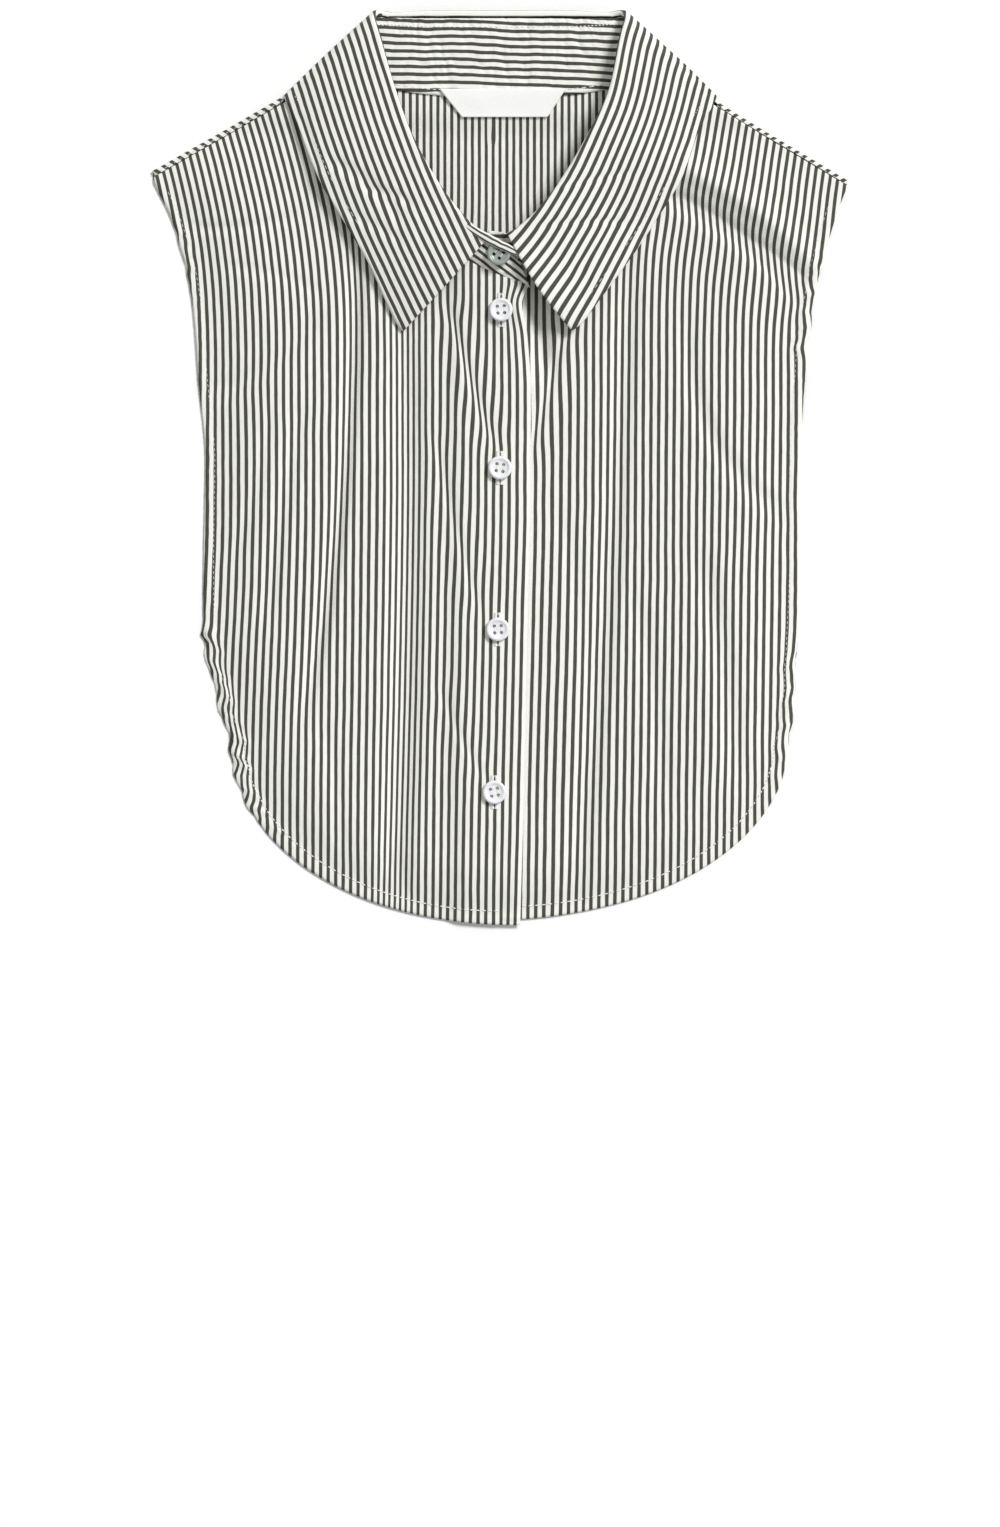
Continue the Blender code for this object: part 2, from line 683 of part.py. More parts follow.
def build_label(collection):
    low, high = LABEL

    def surface(column_index, row_index):
        share_across, share_up = column_index / LABEL_FACES, row_index / LABEL_FACES
        up = low.up + (high.up - low.up) * share_up
        start = low.low_across + (high.low_across - low.low_across) * share_up
        end = low.high_across + (high.high_across - low.high_across) * share_up
        across = start + (end - start) * share_across
        on_back = back_lift(up) + 0.5 * BODY_WALL
        on_stand = COLLAR_BACK[1].seam[2] + 0.5 * COLLAR_WALL
        surface_lift = on_back + (on_stand - on_back) * ease(*LABEL_RAMP, up)
        return Vector((across, up, surface_lift + 2.0 * LAYER_GAP + 0.5 * LABEL_WALL))

    return cloth("neck_label", LABEL_FACES, LABEL_FACES, surface, LABEL_WALL, collection, LABEL_WHITE)


def button_profile(name):
    """The open profile that is turned into a button."""
    profile = bmesh.new()
    corners = [
        profile.verts.new((row.radius * BUTTON_RADIUS * MM, 0.0, row.height * BUTTON_HEIGHT * MM))
        for row in BUTTON_PROFILE
    ]
    for start, end in zip(corners, corners[1:]):
        profile.edges.new((start, end))
    mesh = bpy.data.meshes.new(name)
    profile.to_mesh(mesh)
    profile.free()
    return mesh


def hole_cutter(name, place, collection):
    """Four drills for a button's thread holes, joined in one hidden object."""
    drills = bmesh.new()
    for side_x in (-1, 1):
        for side_y in (-1, 1):
            drill = bmesh.ops.create_cone(
                drills, cap_ends=True, segments=HOLE_STEPS, radius1=BUTTON_HOLE_RADIUS * MM,
                radius2=BUTTON_HOLE_RADIUS * MM, depth=3.0 * BUTTON_HEIGHT * MM,
            )
            shift = Vector((side_x, side_y, 0.0)) * BUTTON_HOLE_SPREAD * MM
            bmesh.ops.translate(drills, verts=drill["verts"], vec=shift)
    mesh = bpy.data.meshes.new(name + "_drills")
    drills.to_mesh(mesh)
    drills.free()
    cutter = bpy.data.objects.new(name + "_drills", mesh)
    cutter.location = placed(place)
    cutter.hide_render = True
    cutter.display_type = "WIRE"
    collection.objects.link(cutter)
    return cutter


def build_button(name, place, colour, collection, cutting):
    piece = finish(name, button_profile(name), material_for(name, colour, 0.35), collection)
    screw = piece.modifiers.new("turned", "SCREW")
    screw.steps = BUTTON_STEPS
    screw.render_steps = BUTTON_STEPS
    screw.use_merge_vertices = True
    screw.merge_threshold = 0.00001
    screw.use_normal_calculate = True
    holes = piece.modifiers.new("holes", "BOOLEAN")
    holes.operation = "DIFFERENCE"
    holes.object = hole_cutter(name, place, cutting)
    piece.location = placed(place)
    return piece


def front_seat(across, up):
    """Height at which a flat button just clears the front under it."""
    middles = [body_lift(across, up) + lap_lift(across)]
    for ring in (0.5 * BUTTON_BASE, BUTTON_BASE):
        for step in range(8):
            angle = step * math.pi / 4.0
            x = across + ring * BUTTON_RADIUS * math.cos(angle)
            y = up + ring * BUTTON_RADIUS * math.sin(angle)
            middles.append(body_lift(x, y) + lap_lift(x))
    return max(middles) + 0.5 * BODY_WALL + LAYER_GAP


def stand_seat(across, up):
    """Height at which a flat button just clears the top lap of the stand."""
    steps = 12
    middles = []
    for index in range(steps + 1):
        place = COLLAR_PLACES[3] * index / steps
        for row in range(steps + 1):
            point = stand_point(place, row / steps)
            if math.hypot(point.x - across, point.y - up) < BUTTON_BASE * BUTTON_RADIUS:
                middles.append(point.z)
    return max(middles) + 0.5 * COLLAR_WALL + LAYER_GAP


def main():
    for old in list(bpy.data.objects):
        bpy.data.objects.remove(old, do_unlink=True)
    scene_collection = bpy.context.scene.collection
    parts = bpy.data.collections.new("dickey_collar")
    cutting = bpy.data.collections.new("cutters")
    scene_collection.children.link(parts)
    scene_collection.children.link(cutting)

    build_back(parts)
    build_front("front_left", 1, parts)
    build_front("front_right", -1, parts)
    build_stand(parts)
    build_leaf(parts)
    build_label(parts)
    for row in FRONT_BUTTONS:
        place = (row.across, row.up, front_seat(row.across, row.up))
        build_button(row.name, place, BUTTON_WHITE, parts, cutting)
    place = (*STAND_BUTTON, stand_seat(*STAND_BUTTON))
    build_button("button_stand", place, STAND_BUTTON_GREY, parts, cutting)


main()
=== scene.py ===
"""Looks of a striped poplin collar on a short buttoned bib, laid flat and face up on a white table.

Sizes are in millimetres until a point is placed: 'across' runs from the centre front to the viewer's
right, 'up' from the lowest hem to the neck, and the third is the height above the table.
"""
import math
from collections import namedtuple
from functools import lru_cache

import bmesh
import bpy
from mathutils import Matrix, Vector, noise


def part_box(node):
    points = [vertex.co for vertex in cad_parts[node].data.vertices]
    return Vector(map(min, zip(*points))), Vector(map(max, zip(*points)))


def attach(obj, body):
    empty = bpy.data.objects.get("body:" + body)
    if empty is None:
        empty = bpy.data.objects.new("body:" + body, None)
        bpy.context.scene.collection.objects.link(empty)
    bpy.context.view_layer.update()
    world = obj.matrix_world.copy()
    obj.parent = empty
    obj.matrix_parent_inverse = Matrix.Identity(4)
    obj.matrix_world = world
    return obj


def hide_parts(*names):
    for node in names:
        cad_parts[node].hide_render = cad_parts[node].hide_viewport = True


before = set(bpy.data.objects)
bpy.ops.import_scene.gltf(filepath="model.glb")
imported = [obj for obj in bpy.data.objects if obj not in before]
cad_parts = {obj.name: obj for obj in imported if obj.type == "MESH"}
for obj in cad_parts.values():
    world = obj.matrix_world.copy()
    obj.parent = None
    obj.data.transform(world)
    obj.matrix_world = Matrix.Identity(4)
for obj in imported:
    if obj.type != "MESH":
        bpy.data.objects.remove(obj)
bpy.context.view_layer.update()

# Fronts
# Two fronts of yarn-dyed cotton poplin, cut with their stripes upright, hemmed all round with a narrow
# turned hem, and buttoned, the wearer's right over the left. They are laid by hand, so long soft folds run
# down them, the cloth drags towards the buttons, and the hem stitching draws the edge into puckers.

MM = 0.001
MIDDLE = (0.0, 223.6)
BODY_WALL = 0.5
FRONT_FACES = (124, 290)

HEM_CENTRE_UP = 90.5
HEM_HALF_WIDTH = {-1: 132.0, 1: 141.3}
HEM_DROP = {-1: 90.5, 1: 88.5}
HEM_SPACING = 1.3
HEM_SIDE_UP = 135.0
HEM_SIDE_SHARE = 0.13
SHOULDER_TIP = {-1: (170.6, 368.2), 1: (171.0, 363.4)}
NECK_CORNER = (83.0, 415.5)
CORNER_RAISED = {-1: 1.8, 1: 0.0}
FORWARD_ROLL = {-1: 2.7, 1: 2.0}
SEAM_GAP = 0.3

BACK_REST = 0.3
FRONT_REST = 0.56
OVER_FRONT = 0.5
BACK_NECK_LIFT = 2.2
BACK_RAMP = (384.0, 398.5)
EDGE_PITCH = 0.62
EDGE_DROOP = (-0.6, 1.9)
RESTING_PITCH = 2.1
PITCH_REACH = 25.0
LOFT = 3.4
EDGE_SOFTENING = (2.0, 42.0)
SHOULDER_SOFTENING = (3.0, 38.0)
NECK_RISE = 2.4
NECK_RISE_REACH = 48.0
NECK_DEPTH = 97.3
NECK_POWER = 1.6
LAP_LIFT = 2.0
LAP_RAMP = (-28.0, -17.5)
LAP_EDGE_DROP = 0.4
LAP_EDGE = (5.0, 14.0)
UNDER_LAP = 14.0
HEM_TURN = 7.0
ARMHOLE_TURN = 5.2
TURN_UP = (50.0, 130.0)
HEM_RIDGE = 0.28
HEM_RIDGE_SIDES = (0.9, 0.5)

# Armhole edge: distance out from the centre front at each height
ArmholeRow = namedtuple("ArmholeRow", "up right_out left_out")
ARMHOLE = tuple(ArmholeRow(*row) for row in (
    (90.5, 132.0, 141.3), (110.0, 138.0, 143.8), (139.0, 144.8, 145.2), (178.0, 145.2, 146.7),
    (227.0, 144.6, 147.0), (266.0, 148.2, 149.0), (306.0, 151.6, 153.6), (345.0, 161.4, 163.5),
    (365.4, 171.0, 171.0),
))

# Front edge of the top lap: how far it reaches past the centre front at each height
LapRow = namedtuple("LapRow", "up past")
TOP_LAP = tuple(LapRow(*row) for row in (
    (0.0, 9.8), (90.0, 12.2), (160.0, 13.7), (208.0, 14.9), (261.0, 14.9), (288.0, 13.2), (303.0, 10.6),
    (312.0, 13.9),
))

# Front neck seam, from past the centre front out to the shoulder
SeamRow = namedtuple("SeamRow", "reach out up")
FRONT_NECK = tuple(SeamRow(*row) for row in (
    (0.00, 83.0, 415.5), (0.16, 79.2, 398.5), (0.38, 69.4, 374.1), (0.62, 49.9, 348.7),
    (0.78, 29.3, 331.6), (0.90, 13.7, 324.0), (0.95, 0.0, 318.0), (1.00, -14.0, 312.0),
))

# Folds: a path through three points, half the width, the depth, how much cloth each one takes up, which
# draws the stripes together, and whether it is rooted under the collar
Fold = namedtuple("Fold", "start middle end half_width depth taken rooted", defaults=(False,))
FOLDS = (
    Fold((-46.5, 292.0), (-46.0, 159.0), (-53.0, 2.0), 12.5, 3.0, 7.0, True),
    Fold((-70.9, 324.0), (-77.0, 217.0), (-96.0, 104.0), 7.0, 3.0, 3.2, True),
    Fold((-97.0, 250.0), (-107.0, 198.0), (-113.4, 150.0), 7.5, 1.2, 0.8),
    Fold((62.4, 318.0), (54.0, 190.0), (36.0, 16.0), 10.0, 2.0, 1.6, True),
    Fold((99.0, 178.0), (108.0, 129.0), (115.5, 72.0), 10.0, 1.5, 1.0),
    Fold((80.0, 357.0), (112.0, 339.0), (151.0, 306.0), 8.0, 4.4, 4.2),
    Fold((86.0, 371.0), (119.0, 353.0), (155.0, 321.0), 10.0, -3.8, 0.0),
    Fold((92.0, 294.0), (105.0, 235.0), (146.0, 196.0), 8.0, 1.2, 0.7),
    Fold((-88.0, 297.0), (-116.0, 271.0), (-142.0, 257.0), 8.0, 1.3, 0.6),
    Fold((-24.0, 300.0), (-13.6, 264.0), (-2.5, 234.0), 3.0, 1.0, 2.6),
    Fold((-31.0, 236.0), (-22.0, 196.0), (-9.8, 152.6), 3.2, 0.7, 1.3),
    Fold((-29.3, 116.4), (-19.0, 92.0), (-6.4, 70.9), 3.0, 0.5, 0.8),
    Fold((33.0, 292.0), (24.0, 262.0), (14.0, 229.0), 3.4, 0.7, 1.6),
    Fold((19.0, 330.0), (20.0, 304.0), (21.0, 268.0), 9.5, 3.4, 0.0),
    Fold((-111.0, 256.7), (-119.0, 216.0), (-130.6, 175.0), 6.0, 0.6, 0.5),
    Fold((-156.5, 342.3), (-129.6, 340.3), (-97.8, 347.2), 4.5, 0.8, 0.9),
    Fold((-133.0, 322.0), (-112.0, 318.0), (-88.0, 309.0), 5.0, 0.5, 0.4),
    Fold((128.0, 335.0), (135.0, 318.0), (150.0, 303.0), 4.5, 0.4, 0.5),
    Fold((30.0, 200.0), (38.0, 160.0), (41.0, 118.0), 7.0, 0.6, 0.3),
    Fold((66.0, 160.0), (74.0, 120.0), (79.0, 64.0), 8.0, 0.8, 0.4),
    Fold((-84.0, 96.0), (-80.0, 66.0), (-77.0, 34.0), 6.0, 0.6, 0.3),
    Fold((-20.0, 62.0), (-22.0, 40.0), (-21.0, 12.0), 6.0, 0.4, 0.3),
)
THROAT_DIP = Fold((17.0, 326.0), (17.0, 304.0), (18.0, 276.0), 9.0, 2.6, 0.0)
OPEN_HEM = 20.0
ROOTED_FADE = (0.55, 1.15)
FOLD_REACH = 4.0

# Where the cloth is drawn in and out along the hems by its stitching: height and shift
DrawRow = namedtuple("DrawRow", "up shift")
RIGHT_HEM_DRAW = tuple(DrawRow(*row) for row in (
    (44.0, 0.0), (52.0, 0.5), (58.0, -0.5), (66.0, 0.7), (74.0, -0.4), (80.0, 0.9), (85.0, -0.8),
    (93.0, 0.9), (98.0, 0.1), (106.0, -0.9), (115.0, 0.9), (124.0, 0.6), (131.0, -0.4), (138.0, 0.9),
    (142.0, -0.9), (150.0, 0.0), (318.0, 0.0), (325.0, 0.4), (331.0, -0.3), (338.0, 0.4), (346.0, 0.0),
))
LEFT_HEM_DRAW = tuple(DrawRow(*row) for row in (
    (70.0, 0.0), (78.0, 0.4), (84.0, -0.3), (92.0, 0.5), (99.0, -0.4), (110.0, 0.5), (119.0, -0.4),
    (128.0, 0.4), (136.0, 0.0), (276.0, 0.0), (284.0, 0.6), (293.0, -0.6), (302.0, 0.5), (311.0, -0.5),
    (320.0, 0.4), (330.0, 0.0),
))
DRAW_REACH = 12.0
DRAW_RIPPLE = 1.1
DRAW_RIPPLE_PITCH = (4.0, 6.0)
HEM_PRESSED = {-1: 4.6, 1: 1.38}
HEM_PRESSED_IN = 11.0
HEM_PRESSED_FROM = (52.0, 84.0)
HEM_PRESSED_TO = (124.0, 147.0)
PUCKER_DEPTH = 1.1
PUCKER_REACH = 5.0

# Stripe that runs down the button line: how far it is from the centre front at each height
GRAIN_UP = (0.0, 65.0, 144.0, 223.0, 300.0, 420.0)
GRAIN_ACROSS = (-3.2, -2.4, -0.6, 0.7, 0.9, 0.9)
GRAIN_REACH = (20.0, 90.0)
GRAIN_LOST = 0.6
SHOULDER_LEAN = {-1: 0.30, 1: 0.17}
LEAN_UP = (270.0, 400.0)
LEAN_OUT = (20.0, 85.0)
LAP_EDGE_CUT = 13.9
LAP_EDGE_FROM = -2.0
UNDER_LAP_SHIFT = 1.95
UNDER_LAP_REACH = (16.0, 40.0)
LAP_CURL = 2.2
LAP_CURL_UP = (286.0, 301.0, 318.0)
LAP_CURL_OUT = (4.0, 12.0)

# Small waves all over the fronts, slow and quick: height, shift sideways, and pitch
WAVE = (0.30, 0.10)
SWAY = (0.12, 0.05)
SWAY_PITCH = (34.0, 13.0)


def ease(low, high, value):
    """Smooth step from 0 at low to 1 at high."""
    share = min(1.0, max(0.0, (value - low) / (high - low)))
    return share * share * (3.0 - 2.0 * share)


def slope_at(places, values, index):
    """Slope of a curve that never overshoots its points."""
    last = len(places) - 1
    if index == 0:
        return (values[1] - values[0]) / (places[1] - places[0])
    if index == last:
        return (values[last] - values[last - 1]) / (places[last] - places[last - 1])
    before = (values[index] - values[index - 1]) / (places[index] - places[index - 1])
    after = (values[index + 1] - values[index]) / (places[index + 1] - places[index])
    if before * after <= 0.0:
        return 0.0
    return 2.0 * before * after / (before + after)


def follow(places, values, place):
    """Value at a place on the smooth curve through the points."""
    place = min(places[-1], max(places[0], place))
    index = 0
    while index < len(places) - 2 and place > places[index + 1]:
        index += 1
    span = places[index + 1] - places[index]
    share = (place - places[index]) / span
    start_slope = slope_at(places, values, index) * span
    end_slope = slope_at(places, values, index + 1) * span
    square, cube = share ** 2, share ** 3
    return (
        (2 * cube - 3 * square + 1) * values[index]
        + (cube - 2 * square + share) * start_slope
        + (3 * square - 2 * cube) * values[index + 1]
        + (cube - square) * end_slope
    )


@lru_cache(maxsize=None)
def column(table, name):
    return tuple(getattr(row, name) for row in table)


def placed(point):
    """From the laid garment's millimetres to the part's metres."""
    return Vector((point[0] - MIDDLE[0], point[1] - MIDDLE[1], point[2])) * MM


def armhole_out(side, up):
    name = "right_out" if side < 0 else "left_out"
    return follow(column(ARMHOLE, "up"), column(ARMHOLE, name), up)


@lru_cache(maxsize=None)
def shoulder_frame(side):
    """Tip of the shoulder, its neck corner, its direction to the neck, and its inward normal."""
    tip = Vector((side * SHOULDER_TIP[side][0], SHOULDER_TIP[side][1]))
    corner = Vector((side * NECK_CORNER[0], NECK_CORNER[1] + CORNER_RAISED[side]))
    along = (corner - tip).normalized()
    inward = Vector((along.y, -along.x)) if side < 0 else Vector((-along.y, along.x))
    return tip, corner, along, inward


def from_edge(side, across, up):
    """Distance in from the armhole or the hem."""
    half_width = armhole_out(side, max(up, HEM_CENTRE_UP))
    drop = max(0.0, HEM_CENTRE_UP - up) / HEM_DROP[side]
    return half_width * (1.0 - math.hypot(across / half_width, drop))


def fold_at(fold, across, up):
    """Share of the way along a fold, the offset from its line in half widths, and its outward normal."""
    run_across, run_up = fold.end[0] - fold.start[0], fold.end[1] - fold.start[1]
    length = math.hypot(run_across, run_up)
    share = ((across - fold.start[0]) * run_across + (up - fold.start[1]) * run_up) / length ** 2
    outward = math.copysign(1.0, -run_up * fold.middle[0])
    normal = (-outward * run_up / length, outward * run_across / length)
    bow_across = fold.middle[0] - 0.5 * (fold.start[0] + fold.end[0])
    bow_up = fold.middle[1] - 0.5 * (fold.start[1] + fold.end[1])
    away = normal[0] * (across - fold.start[0]) + normal[1] * (up - fold.start[1])
    bowed = 4.0 * max(0.0, share) * (1.0 - share)
    away -= bowed * (normal[0] * bow_across + normal[1] * bow_up)
    return share, away / fold.half_width, normal


def fold_strength(share):
    return ease(-0.1, 0.12, share) * (1.0 - ease(0.85, 1.1, share))


def depth_in(folds, across, up):
    """How deep a cloth sinks in its folds at a place."""
    depth = 0.0
    for fold in folds:
        share, offset, _ = fold_at(fold, across, up)
        if -0.1 < share < 1.1 and abs(offset) < 1.0:
            depth += fold.depth * fold_strength(share) * math.cos(0.5 * math.pi * offset) ** 2
    return depth


def taken_in(folds, across, up):
    """How far the folds have moved a place from where it was in the flat cut."""
    moved_across, moved_up = 0.0, 0.0
    for fold in folds:
        share, offset, normal = fold_at(fold, across, up)
        drawn = ease(-1.1, 1.1, offset)
        if fold.rooted:
            open_hem = fold.end[1] < OPEN_HEM
            strength = 1.0 if open_hem else 1.0 - ease(*ROOTED_FADE, share)
        else:
            strength = fold_strength(share) * (1.0 - ease(0.8, FOLD_REACH, abs(offset)))
            drawn -= 0.5
        moved_across += normal[0] * fold.taken * strength * drawn
        moved_up += normal[1] * fold.taken * strength * drawn
    return moved_across, moved_up


def hem_draw(side, across, up):
    """How far the edge stitching has drawn the cloth in or out, fading inwards from the edge."""
    rows = RIGHT_HEM_DRAW if side < 0 else LEFT_HEM_DRAW
    if up <= rows[0].up or up >= rows[-1].up:
        return 0.0
    inward = from_edge(side, across, up)
    if inward > DRAW_REACH:
        return 0.0
    ripple = noise.noise(Vector((up / DRAW_RIPPLE_PITCH[0], inward / DRAW_RIPPLE_PITCH[1], 7.0 * side)))
    drawn = follow(column(rows, "up"), column(rows, "shift"), up + 0.5 * inward)
    calm = min(1.0, abs(drawn) + 0.15)
    return (drawn + DRAW_RIPPLE * ripple * calm) * (1.0 - ease(1.0, DRAW_REACH, inward))


def back_lift(up):
    """The back lies on the table, and near the neck on the leaf that is folded under it."""
    return BACK_REST + BACK_NECK_LIFT * ease(*BACK_RAMP, up)


def body_lift(across, up):
    """Height of the fronts' middle surface, before the top lap is raised."""
    side = -1 if across < 0.0 else 1
    inward = from_edge(side, across, up)
    tip, _, _, normal = shoulder_frame(side)
    from_shoulder = normal.dot(Vector((across, up)) - tip)
    loft = LOFT * ease(*EDGE_SOFTENING, inward) * ease(*SHOULDER_SOFTENING, from_shoulder)
    neck_drop = max(0.0, NECK_CORNER[1] - up)
    neck = (abs(across) / NECK_CORNER[0]) ** NECK_POWER + (neck_drop / NECK_DEPTH) ** NECK_POWER
    from_neck = NECK_DEPTH * (neck ** (1.0 / NECK_POWER) - 1.0)
    rise = NECK_RISE * (1.0 - ease(0.0, NECK_RISE_REACH, from_neck))
    pitch = EDGE_PITCH + (RESTING_PITCH - EDGE_PITCH) * ease(0.0, PITCH_REACH, inward)
    pitch *= ease(*EDGE_DROOP, inward)
    sunk = min(depth_in(FOLDS, across, up), loft)
    return back_lift(up) + pitch + loft - sunk + rise


def lap_lift(across):
    """How much the top lap is raised over the under lap."""
    return LAP_LIFT * ease(*LAP_RAMP, across) - LAP_EDGE_DROP * ease(*LAP_EDGE, across)


def hem_place(side, share, inset=0.0):
    """Distance out and height on the hem, from its side at share 0 to its lowest point at 1."""
    if share < HEM_SIDE_SHARE:
        up = HEM_SIDE_UP + (HEM_CENTRE_UP - HEM_SIDE_UP) * share / HEM_SIDE_SHARE
        return Vector((armhole_out(side, up) - inset, up))
    out = 1.0 - ((share - HEM_SIDE_SHARE) / (1.0 - HEM_SIDE_SHARE)) ** HEM_SPACING
    drop = math.sqrt(1.0 - out * out)
    return Vector((
        (HEM_HALF_WIDTH[side] - inset) * out,
        HEM_CENTRE_UP - (HEM_DROP[side] - inset) * drop,
    ))


def inside_edges(start_edge, end_edge, bottom, top, share, share_up):
    """A place in the plan between two edges that run up, each given by share, and a bottom and a top."""
    def between(up):
        return start_edge(up) * (1.0 - share) + end_edge(up) * share

    ends = bottom * (1.0 - share_up) + top * share_up
    return between(share_up) + ends - between(0.0) * (1.0 - share_up) - between(1.0) * share_up


def front_plan(side, share_out, share_up):
    """Place in the plan on a front: share_out runs from armhole to front edge, share_up from hem to top."""
    top_side = side < 0
    past_hem = TOP_LAP[0].past if top_side else UNDER_LAP
    bottom = hem_place(side, share_out) - Vector((past_hem * share_out ** 4, 0.0))
    tip_up = SHOULDER_TIP[side][1]

    def armhole(share):
        up = HEM_SIDE_UP + (tip_up - HEM_SIDE_UP) * share
        return Vector((armhole_out(side, up), up))

    def front_edge(share):
        hem_up = HEM_CENTRE_UP - HEM_DROP[side]
        up = hem_up + (FRONT_NECK[-1].up - hem_up) * share
        past = follow(column(TOP_LAP, "up"), column(TOP_LAP, "past"), up) if top_side else UNDER_LAP
        return Vector((-past, up))

    def top(share):
        tip, corner, _, inward = shoulder_frame(side)
        inset = inward * (FORWARD_ROLL[side] + SEAM_GAP)
        if share < 0.5:
            place = tip.lerp(corner, share / 0.5) + inset
            return Vector((side * place.x, place.y))
        reach = (share - 0.5) / 0.5
        out = follow(column(FRONT_NECK, "reach"), column(FRONT_NECK, "out"), reach)
        up = follow(column(FRONT_NECK, "reach"), column(FRONT_NECK, "up"), reach)
        return Vector((out + side * inset.x * (1.0 - reach), up + inset.y * (1.0 - reach)))

    place = inside_edges(armhole, front_edge, bottom, top(share_out), share_out, share_up)
    return side * place.x, place.y


RIGHT_FOLDS = tuple(fold for fold in FOLDS if fold.middle[0] < 0.0)
LEFT_FOLDS = tuple(fold for fold in FOLDS if fold.middle[0] > 0.0)


def front_cut(side, across, up):
    """Where a place on a front was in the flat cut, whose stripes are straight and even."""
    out = abs(across)
    moved_across, moved_up = taken_in(RIGHT_FOLDS if side < 0 else LEFT_FOLDS, across, up)
    grain = follow(GRAIN_UP, GRAIN_ACROSS, up)
    cut_across = across + moved_across - grain * (1.0 - GRAIN_LOST * ease(*GRAIN_REACH, out))
    rise = LEAN_UP[1] - LEAN_UP[0]
    share = min(1.0, max(0.0, (up - LEAN_UP[0]) / rise))
    lean = rise * (share ** 3 - 0.5 * share ** 4) + max(0.0, up - LEAN_UP[1])
    cut_across -= side * SHOULDER_LEAN[side] * lean * ease(*LEAN_OUT, out)
    pressed = ease(*HEM_PRESSED_FROM, up) * (1.0 - ease(*HEM_PRESSED_TO, up))
    if pressed:
        near_edge = 1.0 - ease(0.0, HEM_PRESSED_IN, from_edge(side, across, up))
        cut_across += side * HEM_PRESSED[side] * pressed * near_edge
    if side > 0:
        cut_across += UNDER_LAP_SHIFT * (1.0 - ease(*UNDER_LAP_REACH, across))
    elif across > LAP_EDGE_FROM:
        past = follow(column(TOP_LAP, "up"), column(TOP_LAP, "past"), up)
        cut_across += (LAP_EDGE_CUT - past + grain) * ease(LAP_EDGE_FROM, past, across)
    return cut_across, up + moved_up


def turn_width(up):
    """Width of the turned hem, which is narrower along the armholes."""
    return HEM_TURN + (ARMHOLE_TURN - HEM_TURN) * ease(*TURN_UP, up)


def front_place(side, across, up):
    """A place on a laid front, moved by its creases and small waves."""
    inward = from_edge(side, across, up)
    draw = hem_draw(side, across, up)
    lift = body_lift(across, up)
    if side < 0:
        low, middle, high = LAP_CURL_UP
        curl = ease(low, middle, up) * (1.0 - ease(middle, high, up)) * ease(*LAP_CURL_OUT, across)
        lift += lap_lift(across) + LAP_CURL * curl
    else:
        lift -= depth_in((THROAT_DIP,), across, up)
    turn = turn_width(up)
    lift += HEM_RIDGE * (1.0 - ease(turn - HEM_RIDGE_SIDES[0], turn + HEM_RIDGE_SIDES[1], inward))
    lift += PUCKER_DEPTH * abs(draw) * ease(0.0, PUCKER_REACH, inward)
    slow = noise.noise(Vector((across, up, 3.0 * side)) / SWAY_PITCH[0])
    quick = noise.noise(Vector((across, up, 9.0 * side)) / SWAY_PITCH[1])
    lift += WAVE[0] * slow + WAVE[1] * quick
    sway = SWAY[0] * slow + SWAY[1] * quick
    resting = BACK_REST + FRONT_REST * ease(*EDGE_DROOP, inward)
    return Vector((across - side * draw + sway, up, max(lift, resting)))


def add_object(name, data):
    """A new object of the scene, at the origin."""
    item = bpy.data.objects.new(name, data)
    bpy.context.scene.collection.objects.link(item)
    return item


def lay_cloth(name, faces, surface, wall):
    """A cut piece as a fine grid laid on its surface, with the flat cut kept as a UV map in metres."""
    grid = bmesh.new()
    bmesh.ops.create_grid(grid, x_segments=faces[0], y_segments=faces[1], size=0.5)
    cut = grid.loops.layers.uv.new("cut")
    flat = {}
    for vertex in grid.verts:
        place, across, up = surface(vertex.co.x + 0.5, vertex.co.y + 0.5)
        vertex.co = placed(place)
        flat[vertex] = (across * MM, up * MM)
    for face in grid.faces:
        for loop in face.loops:
            loop[cut].uv = flat[loop.vert]
    mesh = bpy.data.meshes.new(name)
    grid.to_mesh(mesh)
    grid.free()
    mesh.shade_smooth()
    piece = add_object(name, mesh)
    doubled = piece.modifiers.new("wall", "SOLIDIFY")
    doubled.thickness = wall * MM
    doubled.offset = 0.0
    return piece


def new_material(name):
    """A material to be filled in; gives it, its node tree and its shader."""
    material = bpy.data.materials.new(name)
    material.use_nodes = True
    tree = material.node_tree
    return material, tree, tree.nodes["Principled BSDF"]


def link(tree, start, end):
    tree.links.new(start, end)


def cut_map(tree):
    """Coordinates in the piece's flat cut, in metres."""
    node = tree.nodes.new("ShaderNodeUVMap")
    node.uv_map = "cut"
    return node.outputs["UV"]


def object_place(tree):
    return tree.nodes.new("ShaderNodeTexCoord").outputs["Object"]


def math_node(tree, operation, first, second=None):
    """A maths node on a socket and a number or another socket; gives its output."""
    node = tree.nodes.new("ShaderNodeMath")
    node.operation = operation
    for socket, value in zip(node.inputs, (first, second)):
        if isinstance(value, bpy.types.NodeSocket):
            link(tree, value, socket)
        elif value is not None:
            socket.default_value = value
    return node.outputs[0]


def noise_node(tree, vector, scale, detail):
    node = tree.nodes.new("ShaderNodeTexNoise")
    node.inputs["Scale"].default_value = scale
    node.inputs["Detail"].default_value = detail
    link(tree, vector, node.inputs["Vector"])
    return node.outputs["Fac"]


def stretched_noise(tree, vector, stretch, detail):
    """Noise with its own scale in each direction."""
    node = tree.nodes.new("ShaderNodeMapping")
    node.inputs["Scale"].default_value = stretch
    link(tree, vector, node.inputs["Vector"])
    return noise_node(tree, node.outputs["Vector"], 1.0, detail)


